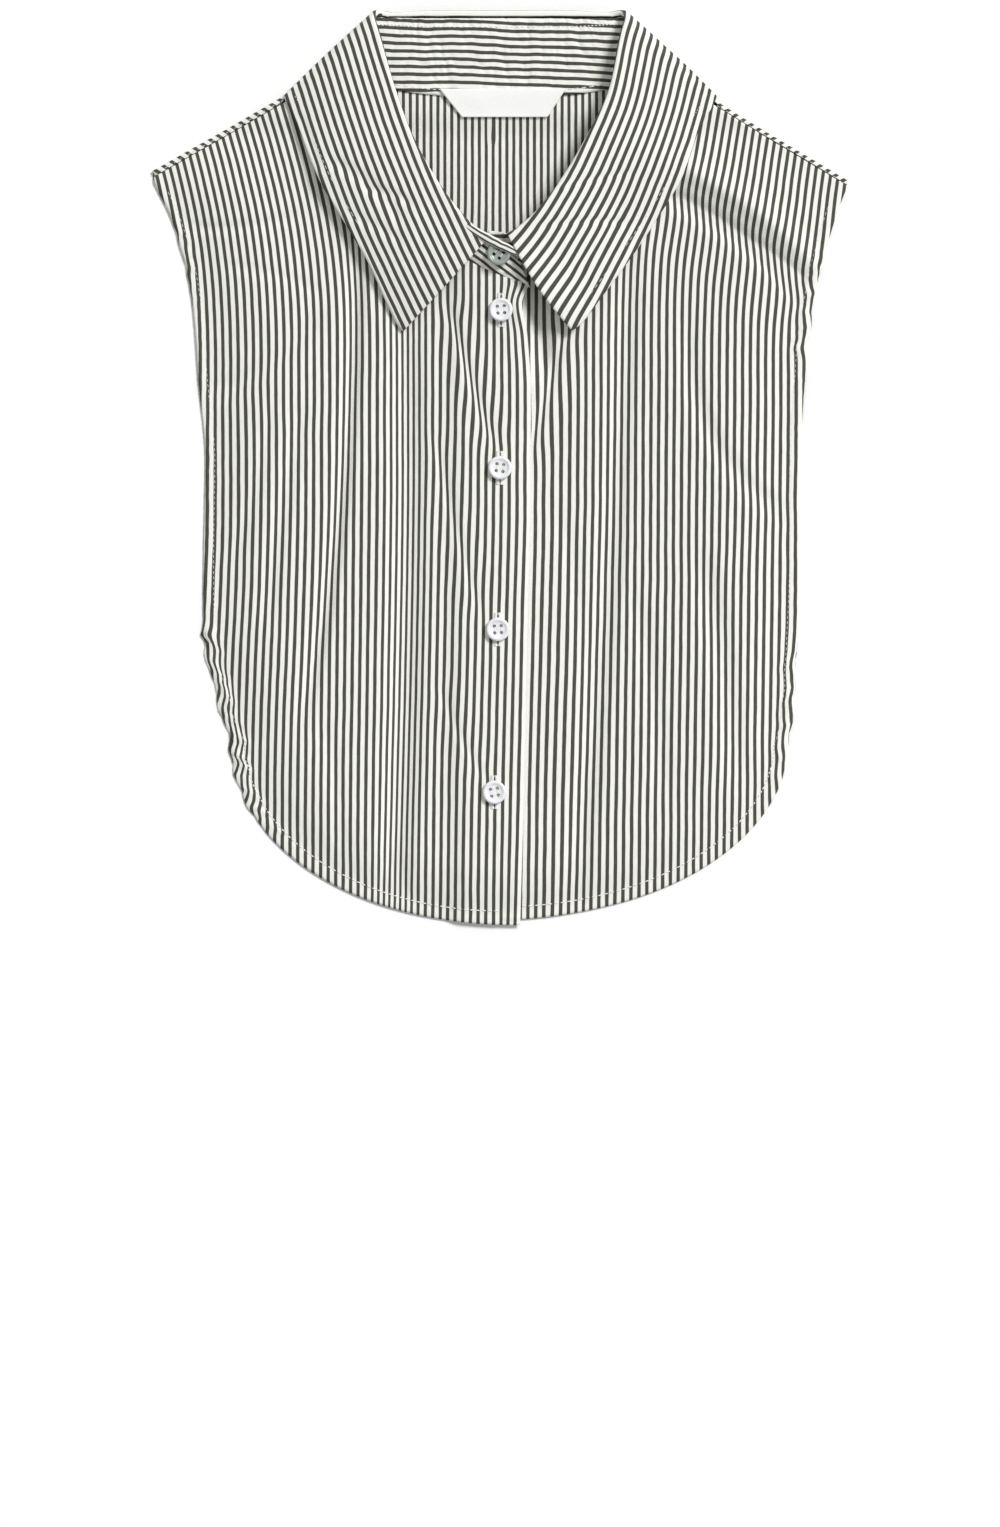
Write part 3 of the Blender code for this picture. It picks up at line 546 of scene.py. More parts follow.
def ramp_node(tree, value, low, high, start, end):
    """Smooth passage of a value from one number to another."""
    node = tree.nodes.new("ShaderNodeMapRange")
    node.interpolation_type = "SMOOTHSTEP"
    node.inputs["From Min"].default_value = low
    node.inputs["From Max"].default_value = high
    node.inputs["To Min"].default_value = start
    node.inputs["To Max"].default_value = end
    link(tree, value, node.inputs["Value"])
    return node.outputs["Result"]


def shaded(tree, colour, value):
    """A colour made lighter or darker by a value."""
    node = tree.nodes.new("ShaderNodeVectorMath")
    node.operation = "SCALE"
    node.inputs[0].default_value = colour
    link(tree, value, node.inputs["Scale"])
    return node.outputs["Vector"]


def raise_bumps(tree, shader, height, strength, distance):
    bump = tree.nodes.new("ShaderNodeBump")
    bump.inputs["Strength"].default_value = strength
    bump.inputs["Distance"].default_value = distance
    link(tree, height, bump.inputs["Height"])
    link(tree, bump.outputs["Normal"], shader.inputs["Normal"])


STRIPE_PITCH = 3.74
STRIPE_EDGE = (0.196, 0.262)
STRIPE_DARK = (0.066, 0.066, 0.050)
STRIPE_LIGHT = (0.905, 0.905, 0.85)
STRIPE_WANDER = (260.0, 90.0, 1.0)
YARN_PITCH = 0.24
WEFT_SPREAD = 1.15
SLUB = (2600.0, 240.0, 1.0)
CRUMPLE = (170.0, 70.0, 1.0)


def striped_poplin():
    """Plain weave with dyed stripes along the warp, read from each piece's flat cut."""
    material, tree, shader = new_material("striped_poplin")
    shader.inputs["Roughness"].default_value = 0.78
    shader.inputs["Specular IOR Level"].default_value = 0.3
    shader.inputs["Sheen Weight"].default_value = 0.12
    shader.inputs["Sheen Roughness"].default_value = 0.45

    cut = cut_map(tree)
    parts = tree.nodes.new("ShaderNodeSeparateXYZ")
    link(tree, cut, parts.inputs["Vector"])
    across, along = parts.outputs["X"], parts.outputs["Y"]

    wander = stretched_noise(tree, cut, STRIPE_WANDER, 3.0)
    shift = math_node(tree, "MULTIPLY", math_node(tree, "SUBTRACT", wander, 0.5), 0.10)
    turns = math_node(tree, "ADD", math_node(tree, "DIVIDE", across, STRIPE_PITCH * MM), shift)
    away = math_node(tree, "PINGPONG", turns, 0.5)
    dark = ramp_node(tree, away, *STRIPE_EDGE, 1.0, 0.0)

    warp = math_node(tree, "PINGPONG", math_node(tree, "DIVIDE", across, YARN_PITCH * MM), 1.0)
    weft = math_node(tree, "PINGPONG", math_node(tree, "DIVIDE", along, WEFT_SPREAD * YARN_PITCH * MM), 1.0)
    woven = math_node(tree, "ABSOLUTE", math_node(tree, "SUBTRACT", warp, weft))
    slub = stretched_noise(tree, cut, SLUB, 2.0)
    fleck = math_node(tree, "ADD", math_node(tree, "MULTIPLY", woven, 0.35), slub)
    tone = ramp_node(tree, fleck, 0.25, 1.15, 0.93, 1.05)
    dye = ramp_node(tree, fleck, 0.30, 1.10, 0.78, 1.30)

    mixed = tree.nodes.new("ShaderNodeMix")
    mixed.data_type = "RGBA"
    link(tree, dark, mixed.inputs["Factor"])
    link(tree, shaded(tree, STRIPE_LIGHT, tone), mixed.inputs[6])
    link(tree, shaded(tree, STRIPE_DARK, dye), mixed.inputs[7])
    link(tree, mixed.outputs[2], shader.inputs["Base Color"])

    crumple = stretched_noise(tree, cut, CRUMPLE, 4.0)
    relief = math_node(tree, "ADD", math_node(tree, "MULTIPLY", woven, 0.05), crumple)
    raise_bumps(tree, shader, relief, 0.5, 0.0006)
    return material


poplin = striped_poplin()


def dress(piece, node, material):
    """Gives a piece its finish and lets it stand for its node."""
    piece.data.materials.append(material)
    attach(piece, "root")
    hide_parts(node)


def lay_front(name, side):
    def surface(share_across, share_up):
        across, up = front_plan(side, share_across if side < 0 else 1.0 - share_across, share_up)
        return front_place(side, across, up), *front_cut(side, across, up)

    return lay_cloth(name, FRONT_FACES, surface, BODY_WALL)


right_front = lay_front("right_front", -1)
dress(right_front, "front_right", poplin)
left_front = lay_front("left_front", 1)
dress(left_front, "front_left", poplin)

# Back
# One piece of the same poplin. It lies face down on the table under the fronts, its shoulder edges roll
# forward over theirs, and its neck edge shows inside the collar.

BACK_FACES = (140, 190)
BACK_INSET = 2.0
TIP_INSET = 0.7
BACK_FLAT_SHARE = 0.76
BACK_NECK_SHARE = 0.27
BACK_NECK_STRIP = 4.0
ROLL_FADE = 0.68
CORNER_CLEARANCE = 3.2
BACK_ROW_POWER = 1.6
BACK_FLAT_ROWS = 0.72
NECK_GATHER = 0.11
NECK_GATHER_OUT = 62.0
NECK_GATHER_UP = (300.0, 360.0)
TUCK = Fold((-3.7, 400.0), (-3.6, 391.0), (-3.2, 382.0), 1.9, 1.2, 0.9)

BACK_NECK_ACROSS = (-78.4, -71.0, -54.0, -28.0, 0.0, 28.0, 54.0, 71.0, 78.4)
BACK_NECK_UP = (413.9, 411.9, 408.7, 405.8, 404.6, 405.8, 408.7, 411.9, 413.9)

BACK_FOLDS = (
    Fold((-60.0, 330.0), (-52.0, 220.0), (-64.0, 60.0), 11.0, 1.1, 3.0),
    Fold((48.0, 300.0), (60.0, 190.0), (50.0, 40.0), 10.0, 1.0, 2.5),
    Fold((4.0, 250.0), (-6.0, 150.0), (8.0, 20.0), 9.0, 0.8, 1.5),
    Fold((95.0, 310.0), (92.0, 240.0), (104.0, 150.0), 8.0, 0.8, 1.5),
    Fold((-104.0, 280.0), (-98.0, 200.0), (-106.0, 110.0), 8.0, 0.7, 1.2),
)


def back_top(share):
    """The back's top line, and the side whose shoulder it is on, or 0 at the neck."""
    for side in (-1, 1):
        from_side = share if side < 0 else 1.0 - share
        if from_side > BACK_NECK_SHARE:
            continue
        tip, corner, along, _ = shoulder_frame(side)
        start = tip + along * TIP_INSET
        end = corner - along * CORNER_CLEARANCE
        return start.lerp(end, from_side / BACK_NECK_SHARE), side
    reach = (share - BACK_NECK_SHARE) / (1.0 - 2.0 * BACK_NECK_SHARE)
    across = BACK_NECK_ACROSS[0] + (BACK_NECK_ACROSS[-1] - BACK_NECK_ACROSS[0]) * reach
    return Vector((across, follow(BACK_NECK_ACROSS, BACK_NECK_UP, across))), 0


def back_rise(across, up):
    """Soft ridges of the back, and how far its stripes are gathered; the tuck is under the label."""
    rise = depth_in(BACK_FOLDS, across, up)
    gather = taken_in(BACK_FOLDS, across, up)[0]
    share, offset, normal = fold_at(TUCK, across, up)
    if -0.1 < share < 1.1 and abs(offset) < 1.0:
        pinched = fold_strength(share) * (1.0 - abs(offset) ** 3)
        rise += TUCK.depth * pinched * (0.5 + 0.5 * offset)
        gather -= normal[0] * TUCK.taken * pinched * offset * TUCK.half_width
    return rise, gather


def back_place(share, share_up):
    """A place on the back, and where it was in the flat cut."""
    flat_share = min(1.0, share_up / BACK_FLAT_SHARE)
    roll_share = max(0.0, (share_up - BACK_FLAT_SHARE) / (1.0 - BACK_FLAT_SHARE))
    side = -1 if share < 0.5 else 1
    bottom = hem_place(side, 2.0 * min(share, 1.0 - share), BACK_INSET)
    bottom.x *= side

    def armhole(end):
        def track(share_along):
            up = HEM_SIDE_UP + (SHOULDER_TIP[end][1] - HEM_SIDE_UP) * share_along
            return Vector((end * (armhole_out(end, up) - BACK_INSET), up))

        return track

    place, shoulder = back_top(share)
    inward = Vector((0.0, -1.0))
    radius, flattened = 0.0, 1.0
    if shoulder:
        inward = shoulder_frame(shoulder)[3]
        front_lift = body_lift(*(place + inward * FORWARD_ROLL[shoulder]))
        radius = 0.5 * (front_lift + OVER_FRONT - back_lift(place.y))
        flattened = ease(ROLL_FADE, 1.0, min(share, 1.0 - share) / BACK_NECK_SHARE)
    roll_inset = (radius + 0.5 * BODY_WALL) * (1.0 - flattened)
    run = BACK_NECK_STRIP * flattened
    top_place = place + inward * (roll_inset + run)

    flat = inside_edges(armhole(-1), armhole(1), bottom, top_place, share, flat_share)

    full_turn = math.pi * (1.0 - flattened)
    roll_width = FORWARD_ROLL[shoulder or -1]
    onward = (roll_width - radius - 0.5 * BODY_WALL) * (1.0 - flattened)
    travel = (run + radius * full_turn + onward) * roll_share
    cut = flat - inward * travel
    straight = min(travel, run)
    turn = min(full_turn, (travel - straight) / radius) if radius else 0.0
    past_turn = travel - straight - radius * turn
    rise, gather = back_rise(flat.x, flat.y)
    lift = back_lift((flat - inward * straight).y) + rise
    flat -= inward * (straight + radius * math.sin(turn) + past_turn * math.cos(turn))
    lift += radius * (1.0 - math.cos(turn)) + past_turn * math.sin(turn)
    near = NECK_GATHER * ease(*NECK_GATHER_UP, cut.y)
    gather += near * max(-NECK_GATHER_OUT, min(NECK_GATHER_OUT, cut.x))
    return Vector((flat.x, flat.y, lift)), cut.x + gather, cut.y


def back_surface(share_across, share_rows):
    if share_rows < BACK_FLAT_ROWS:
        left_over = 1.0 - share_rows / BACK_FLAT_ROWS
        share_up = BACK_FLAT_SHARE * (1.0 - left_over ** BACK_ROW_POWER)
    else:
        rolled = (share_rows - BACK_FLAT_ROWS) / (1.0 - BACK_FLAT_ROWS)
        share_up = BACK_FLAT_SHARE + (1.0 - BACK_FLAT_SHARE) * rolled
    return back_place(share_across, share_up)


back = lay_cloth("back", BACK_FACES, back_surface, BODY_WALL)
dress(back, "back_panel", poplin)

# Collar stand
# A doubled band of the poplin with a stiff interlining, its stripes running round the neck. It is sewn over
# the neck edge of the body; its two ends lap at the throat, where one button holds them.

COLLAR_WALL = 0.9
STAND_FACES = (470, 30)
LAYER_PITCH = 2.1
LEAF_LEG = 1.5
LEAF_CROWN = 1.4
LEAF_EDGE_CLEARANCE = 0.9
LEAF_CLEARANCE = 0.8
ROLL_GAP = 1.0
SEAM_OVERLAP = 1.6
SEAM_LIFT = 0.5

# The collar, one row for each section round the neck. 'roll' is where the leaf folds over, 'edge' the
# leaf's outer edge, 'seam' the stand's lower edge; each is (across, up, lift). A lift of None lies on the
# front. 'bulge' is how far the stand bows out.
Section = namedtuple("Section", "name roll edge seam bulge")
COLLAR_RIGHT = (
    Section("top lap end", (11.5, 324.5, 14.2), (-20.0, 283.0, None), (14.0, 312.2, None), 0.8),
    Section("top lap", (2.0, 331.4, 16.0), (-33.0, 286.0, None), (0.0, 318.6, None), 1.0),
    Section("right leaf front", (-6.4, 333.5, 16.8), (-47.0, 289.8, None), (-13.5, 324.6, None), 1.2),
    Section("right front", (-14.7, 339.9, 17.6), (-54.6, 302.0, None), (-27.0, 331.6, None), 1.2),
    Section("right chest", (-29.3, 357.4, 18.4), (-64.7, 323.8, None), (-47.0, 347.5, None), 1.2),
    Section("right side", (-44.0, 383.9, 18.0), (-88.6, 364.6, None), (-66.2, 371.4, None), 1.2),
    Section("right shoulder", (-52.9, 408.3, 16.2), (-98.8, 389.4, 9.2), (-76.2, 394.0, None), 0.8),
)
COLLAR_LEFT = (
    Section("left shoulder", (55.0, 408.3, 16.2), (97.0, 388.0, 7.8), (76.2, 394.0, None), 0.8),
    Section("left side", (44.0, 383.9, 18.0), (89.6, 366.4, None), (66.2, 371.4, None), 1.2),
    Section("left chest", (29.3, 359.4, 18.6), (70.4, 335.0, None), (46.0, 346.4, None), 1.2),
    Section("left front", (14.7, 342.3, 18.0), (49.5, 306.4, None), (26.0, 330.9, None), 1.2),
    Section("left leaf front", (3.9, 335.4, 17.4), (34.7, 289.8, None), (13.0, 324.4, None), 0.6),
    Section("under lap", (-1.5, 339.2, 12.6), (20.0, 287.0, None), (0.0, 318.6, None), 0.0),
    Section("under lap end", (-6.6, 340.8, 10.8), (8.0, 284.0, None), (-13.4, 312.6, None), 0.0),
)
COLLAR_BACK = (
    Section("right back", (-33.0, 445.4, 0.8), (-36.5, 402.0, 0.8), (-34.2, 407.2, 2.9), 0.0),
    Section("centre back", (0.0, 445.4, 0.8), (0.0, 402.0, 0.8), (0.0, 405.3, 2.9), 0.0),
    Section("left back", (33.0, 445.4, 0.8), (36.5, 402.0, 0.8), (34.2, 407.2, 2.9), 0.0),
)

# Where the collar turns under at each shoulder: the first and last place of the half turn, and how far
# it swells out sideways between them
Turn = namedtuple("Turn", "line over under swell")
TURN = (
    Turn("roll", (60.2, 435.0, 12.8), (53.4, 444.8, 0.8), 7.4),
    Turn("edge", (103.0, 398.8, 7.3), (99.8, 403.2, 0.8), 5.4),
    Turn("seam", (80.9, 409.6, 6.8), (80.4, 414.8, 2.9), 3.0),
)
TURN_SPANS = 7


def on_front(across, up, clearance):
    """Height of a layer that lies on the fronts, top lap included."""
    return body_lift(across, up) + lap_lift(across) * (across < UNDER_LAP) + clearance


def turn_sections(side):
    """Sections of the half turn at a shoulder, from over to under."""
    outward = Vector((side, 1.0)).normalized()
    sections = []
    for step in range(TURN_SPANS + 1):
        share = step / TURN_SPANS
        angle = math.pi * share
        points = {}
        for line, over, under, swell in TURN:
            across = over[0] + (under[0] - over[0]) * share
            up = over[1] + (under[1] - over[1]) * share
            plan = Vector((side * across, up)) + outward * swell * math.sin(angle)
            lift = 0.5 * (over[2] + under[2]) + 0.5 * (over[2] - under[2]) * math.cos(angle)
            points[line] = (plan.x, plan.y, lift)
        name = ("right" if side < 0 else "left") + f" turn {step}"
        sections.append(Section(name, points["roll"], points["edge"], points["seam"], 0.0))
    return sections


COLLAR = (
    *COLLAR_RIGHT,
    *turn_sections(-1),
    *COLLAR_BACK,
    *reversed(turn_sections(1)),
    *COLLAR_LEFT,
)


def collar_places():
    """Running length round the collar at each section."""
    places = [0.0]
    for before, after in zip(COLLAR, COLLAR[1:]):
        step = 0.0
        for name in ("roll", "seam"):
            start, end = getattr(before, name), getattr(after, name)
            step += 0.5 * math.hypot(end[0] - start[0], end[1] - start[1])
        places.append(places[-1] + step + 1.0)
    return places


COLLAR_PLACES = collar_places()
SECTION_PLACE = dict(zip(column(COLLAR, "name"), COLLAR_PLACES))


# Where the leaf's edge stands off the fronts, which throws its soft shadow
EDGE_RAISED = {
    "right front": 0.7,
    "right chest": 2.8,
    "right side": 4.2,
    "left chest": 0.6,
    "left front": 2.4,
    "left leaf front": 3.6,
}


def section_value(section, name, axis):
    """One coordinate of a section's point, with a lift that lies on the front worked out."""
    point = getattr(section, name)
    if axis < 2 or point[2] is not None:
        return point[axis]
    across, up = point[:2]
    if name == "edge":
        raised = LEAF_EDGE_CLEARANCE + EDGE_RAISED.get(section.name, 0.0)
        return on_front(across, up, 0.5 * (BODY_WALL + COLLAR_WALL) + raised)
    is_top_lap = section.name.startswith(("right", "top lap"))
    return body_lift(across, up) + (lap_lift(across) if is_top_lap else 0.0)


COLLAR_TRACKS = {
    (name, axis): [section_value(section, name, axis) for section in COLLAR]
    for name in ("roll", "edge", "seam")
    for axis in range(3)
}


def collar_track(name, place):
    return Vector([follow(COLLAR_PLACES, COLLAR_TRACKS[name, axis], place) for axis in range(3)])


@lru_cache(maxsize=None)
def collar_frame(place):
    """Roll line, leaf edge, the direction from one to the other, and the leaf's outer face normal."""
    roll = collar_track("roll", place)
    edge = collar_track("edge", place)
    step = 0.5
    along = collar_track("roll", place + step) - collar_track("roll", place - step)
    outward = (edge - roll).normalized()
    normal = along.cross(outward).normalized()
    return roll, edge, outward, normal


@lru_cache(maxsize=None)
def stand_frame(place):
    """Top edge of the stand, its seam, the outer face normal, and the bow between them."""
    roll, _, outward, normal = collar_frame(place)
    top = roll - normal * LAYER_PITCH + outward * (LEAF_LEG + ROLL_GAP)
    seam = collar_track("seam", place)
    over = (seam - top).normalized() * SEAM_OVERLAP
    seam = seam + over + Vector((0.0, 0.0, SEAM_LIFT))
    return top, seam, normal, follow(COLLAR_PLACES, column(COLLAR, "bulge"), place)


STAND_LAP_GRAIN = (0.75, 1.0)
STAND_BACK_TILT = 0.03

# Whole stripes that the stand's grain is moved by at the throat and at the back neck, so that it runs on
STAND_FRONT_STRIPES = 26
STAND_BACK_STRIPES = 59
STAND_WRINKLE = 0.42
STAND_WRINKLE_WIDTH = 0.13
STAND_WRINKLE_PITCH = (6.0, 10.0)
STAND_WAVE = 0.30
STAND_WAVE_PITCH = 24.0
GRAIN_WAVE = 0.3
GRAIN_WAVE_PITCH = 7.0
GRAIN_BOW = 0.9
GRAIN_BOW_PITCH = (38.0, 30.0)


def stand_place(place, share):
    """A place across the stand, from its top edge inside the roll to the neck seam."""
    top, seam, normal, bulge = stand_frame(place)
    crease = STAND_WAVE * noise.noise(Vector((place / STAND_WAVE_PITCH, 0.8 * share, 1.0)))
    for pitch, layer in zip(STAND_WRINKLE_PITCH, (4.0, 9.0)):
        wave = abs(noise.noise(Vector((place / pitch, 1.6 * share, layer))))
        crease += STAND_WRINKLE * max(0.0, 1.0 - wave / STAND_WRINKLE_WIDTH)
    return top.lerp(seam, share) + normal * (bulge * math.sin(math.pi * share) + crease)


def stand_grain(place, share):
    """Where a place on the stand lies across its stripes, which run round the neck."""
    top, seam, _, _ = stand_frame(place)
    point = top.lerp(seam, share)
    wave = GRAIN_WAVE * noise.noise(Vector((place / GRAIN_WAVE_PITCH, 2.0 * share, 5.0)))
    around = (share - 1.0) * (seam - top).length
    at_lap = 1.0 - ease(SECTION_PLACE["right leaf front"], SECTION_PLACE["right front"], place)
    lap = STAND_LAP_GRAIN[0] * point.x + STAND_LAP_GRAIN[1] * (point.y - MIDDLE[1])
    at_under = ease(SECTION_PLACE["left front"], SECTION_PLACE["left leaf front"], place)
    bow = noise.noise(Vector((point.x / GRAIN_BOW_PITCH[0], point.y / GRAIN_BOW_PITCH[1], 8.0)))
    flat = STAND_BACK_TILT * point.x + point.y - MIDDLE[1] + GRAIN_BOW * bow
    at_back = ease(SECTION_PLACE["right turn 0"], SECTION_PLACE["right turn 5"], place)
    at_back *= 1.0 - ease(SECTION_PLACE["left turn 5"], SECTION_PLACE["left turn 0"], place)
    front_from = STAND_FRONT_STRIPES * STRIPE_PITCH
    back_from = STAND_BACK_STRIPES * STRIPE_PITCH
    grain = around * (1.0 - at_lap) * (1.0 - at_under) * (1.0 - at_back) + (lap - front_from) * at_lap
    return wave + grain + (flat - front_from) * at_under + (flat - back_from) * at_back


def stand_surface(share_round, share_across):
    place = COLLAR_PLACES[-1] * share_round
    return stand_place(place, share_across), stand_grain(place, share_across), place


stand = lay_cloth("stand", STAND_FACES, stand_surface, COLLAR_WALL)
dress(stand, "collar_stand", poplin)

# Collar leaf
# The fall: doubled poplin with interlining, its stripes along the neck. It folds over the stand at the roll
# line, comes to a point on each side, and at the shoulders it turns under and lies behind the back neck.

LEAF_FACES = (420, 54)
LEAF_LEG_ROWS = 0.04
LEAF_ROLL_ROWS = 0.24
FRONT_BOW = (-1.7, -1.0, 2.0)
FRONT_BOW_REACH = 14.0
FOLD_DRAW = 0.7
FACE_UP = 0.5
LEAF_WAVE = 0.35
LEAF_SWAY = 0.5
LEAF_WAVE_PITCH = 26.0
LEAF_START = SECTION_PLACE["right leaf front"]
LEAF_END = SECTION_PLACE["left leaf front"]

# The stripe that leaves the roll line by each shoulder: its height and its distance out
LEAF_GRAIN_UP = (270.0, 300.0, 330.0, 357.4, 383.9, 408.3, 435.0, 455.0)
LEAF_GRAIN_OUT = {
    -1: (-8.8, 6.8, 21.5, 33.6, 43.9, 52.2, 60.2, 66.0),
    1: (-13.7, 4.3, 21.4, 35.6, 46.5, 53.8, 60.2, 64.5),
}
LEAF_GRAIN_AT_ROLL = {-1: 0.9, 1: 0.5}
LEAF_GRAIN_BLEND = {-1: ("right turn 3", "right turn 6"), 1: ("left turn 6", "left turn 3")}
LEAF_PHASE = 1.87

LEAF_FOLDS = (
    Fold((-97.8, 393.6), (-93.0, 380.0), (-88.0, 366.8), 5.0, 0.7, 0.0),
    Fold((-82.0, 371.6), (-64.0, 361.0), (-47.0, 341.0), 5.5, 0.9, 0.0),
    Fold((-66.0, 357.5), (-54.0, 356.0), (-42.0, 350.0), 3.6, 0.7, 0.0),
    Fold((-72.0, 346.0), (-60.0, 340.0), (-46.0, 332.0), 4.0, 0.5, 0.0),
    Fold((18.0, 340.0), (38.0, 342.5), (62.0, 342.0), 2.6, 0.5, 0.0),
    Fold((22.0, 356.0), (42.0, 362.0), (64.0, 366.0), 2.6, 0.4, 0.0),
    Fold((90.0, 380.0), (80.0, 356.0), (64.0, 330.0), 6.0, 0.6, 0.0),
    Fold((36.0, 318.0), (48.0, 330.0), (60.0, 352.0), 4.5, 0.5, 0.0),
)


def leaf_height(point, normal, share):
    """Lifts a point of the fall clear of the fronts and adds its soft creases."""
    if normal.z < FACE_UP:
        return point
    floor = on_front(point.x, point.y, 0.5 * (BODY_WALL + COLLAR_WALL) + LEAF_CLEARANCE)
    point.z = max(point.z, floor)
    sunk = depth_in(LEAF_FOLDS, point.x, point.y)
    slow = noise.noise(Vector((point.x, point.y, 21.0)) / LEAF_WAVE_PITCH)
    point.z -= (sunk + LEAF_WAVE * slow) * ease(0.0, 0.25, share)
    point.x += LEAF_SWAY * slow
    return point


def leaf_place(place, share_rows):
    """A point across the leaf: a short leg in line with the stand, the roll, and the fall."""
    roll, edge, outward, normal = collar_frame(place)
    radius = 0.5 * LAYER_PITCH
    if share_rows < LEAF_LEG_ROWS:
        return roll - normal * LAYER_PITCH + outward * LEAF_LEG * (1.0 - share_rows / LEAF_LEG_ROWS)
    if share_rows < LEAF_ROLL_ROWS:
        angle = math.pi * (share_rows - LEAF_LEG_ROWS) / (LEAF_ROLL_ROWS - LEAF_LEG_ROWS)
        centre = roll - normal * radius
        return centre - outward * radius * math.sin(angle) - normal * radius * math.cos(angle)
    share = (share_rows - LEAF_ROLL_ROWS) / (1.0 - LEAF_ROLL_ROWS)
    point = roll.lerp(edge, share)
    point += normal * LEAF_CROWN * max(0.0, normal.z) * math.sin(math.pi * share)
    near_end = ease(LEAF_END - FRONT_BOW_REACH, LEAF_END, place)
    point += Vector(FRONT_BOW) * near_end * math.sin(math.pi * share)
    return leaf_height(point, normal, share)


def leaf_grain(place, point, fall, follows):
    """Distance of a point of the leaf from the stripe that leaves the roll line by the shoulder."""
    side = -1 if place < SECTION_PLACE["centre back"] else 1
    low, high = (SECTION_PLACE[name] for name in LEAF_GRAIN_BLEND[side])
    by_front = 1.0 - ease(low, high, place) if side < 0 else ease(low, high, place)
    if not by_front:
        return fall
    grain_out = follow(LEAF_GRAIN_UP, LEAF_GRAIN_OUT[side], point.y)
    ahead = follow(LEAF_GRAIN_UP, LEAF_GRAIN_OUT[side], point.y + 1.0)
    leaning = math.cos(math.atan(ahead - grain_out))
    straight = (abs(point.x) if point.x * side > 0.0 else -abs(point.x)) - grain_out
    return fall + (straight * leaning * follows - fall) * by_front


def leaf_surface(share_round, share_rows):
    place = LEAF_START + (LEAF_END - LEAF_START) * share_round
    roll, edge, _, normal = collar_frame(place)
    side = -1 if place < SECTION_PLACE["centre back"] else 1
    at_roll = leaf_grain(place, roll, 0.0, LEAF_GRAIN_AT_ROLL[side])
    length = (edge - roll).length
    if share_rows < LEAF_ROLL_ROWS:
        before = (LEAF_ROLL_ROWS - share_rows) / LEAF_ROLL_ROWS
        cut = at_roll - before * (0.5 * math.pi * LAYER_PITCH + LEAF_LEG)
    else:
        share = (share_rows - LEAF_ROLL_ROWS) / (1.0 - LEAF_ROLL_ROWS)
        cut = at_roll + (leaf_grain(place, edge, length, 1.0) - at_roll) * share
        if normal.z > FACE_UP:
            point = roll.lerp(edge, share)
            cut += FOLD_DRAW * depth_in(LEAF_FOLDS, point.x, point.y)
    return leaf_place(place, share_rows), cut + LEAF_PHASE, place


leaf = lay_cloth("leaf", LEAF_FACES, leaf_surface, COLLAR_WALL)
dress(leaf, "collar_leaf", poplin)

# Neck label
# A bare woven tape, folded under at its top and sewn into the back neck seam.

LABEL_WALL = 0.5
LABEL_FACES = (60, 30)
LABEL_UP = (394.6, 408.3)
LABEL_LOW = (-18.6, 23.2)
LABEL_HIGH = (-29.8, 32.3)
LABEL_RAMP = (394.0, 408.0)
LABEL_ON_BACK = 3.7
LABEL_ON_STAND = 4.7
LABEL_WAVE = 0.18
LABEL_WAVE_PITCH = 9.0
LABEL_WHITE = (0.95, 0.95, 0.94)
LABEL_RIB = (500.0, 4000.0, 1.0)


def label_surface(share_across, share_up):
    up = LABEL_UP[0] + (LABEL_UP[1] - LABEL_UP[0]) * share_up
    start = LABEL_LOW[0] + (LABEL_HIGH[0] - LABEL_LOW[0]) * share_up
    end = LABEL_LOW[1] + (LABEL_HIGH[1] - LABEL_LOW[1]) * share_up
    across = start + (end - start) * share_across
    wave = LABEL_WAVE * noise.noise(Vector((across / LABEL_WAVE_PITCH, up / LABEL_WAVE_PITCH, 2.0)))
    lift = LABEL_ON_BACK + (LABEL_ON_STAND - LABEL_ON_BACK) * ease(*LABEL_RAMP, up) + wave
    return Vector((across, up, lift)), across, up


def woven_tape():
    """Smooth white satin-woven tape with a faint rib."""
    material, tree, shader = new_material("label_tape")
    shader.inputs["Roughness"].default_value = 0.6
    shader.inputs["Sheen Weight"].default_value = 0.2
    rib = stretched_noise(tree, cut_map(tree), LABEL_RIB, 2.0)
    tone = ramp_node(tree, rib, 0.2, 0.8, 0.95, 1.03)
    link(tree, shaded(tree, LABEL_WHITE, tone), shader.inputs["Base Color"])
    raise_bumps(tree, shader, rib, 0.3, 0.0002)
    return material


label = lay_cloth("label", LABEL_FACES, label_surface, LABEL_WALL)
dress(label, "neck_label", woven_tape())

# Throat edge
# The top edge of the stand's upper lap. It has rolled forward out of the collar and lies over the top of
# the stand's button as a narrow curl, with the stripes along it. It belongs to the stand's flat cut.

CURL_FACES = (120, 18)
CURL_WALL = 0.4
CURL_SWEEP = (-88.0, 92.0)
CURL_STRIPES = (1.9, 11.4)
CURL_OVER_BUTTON = 0.25
CURL_WAVE = 0.25
CURL_HEIGHT = 0.55
CURL_LENGTH = 30.0
CurlRow = namedtuple("CurlRow", "reach across up lift half_width")
button_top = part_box("button_stand")[1][2] / MM + CURL_OVER_BUTTON
CURL = (
    CurlRow(0.00, -22.0, 344.6, 15.0, 1.2),
    CurlRow(0.24, -15.6, 339.9, 17.0, 1.6),
    CurlRow(0.52, -5.4, 333.5, button_top, 2.0),
    CurlRow(0.80, 3.0, 329.3, button_top, 1.9),
    CurlRow(1.00, 9.4, 326.4, 16.2, 1.2),
)


def curl_track(name, reach):
    return follow(column(CURL, "reach"), column(CURL, name), reach)


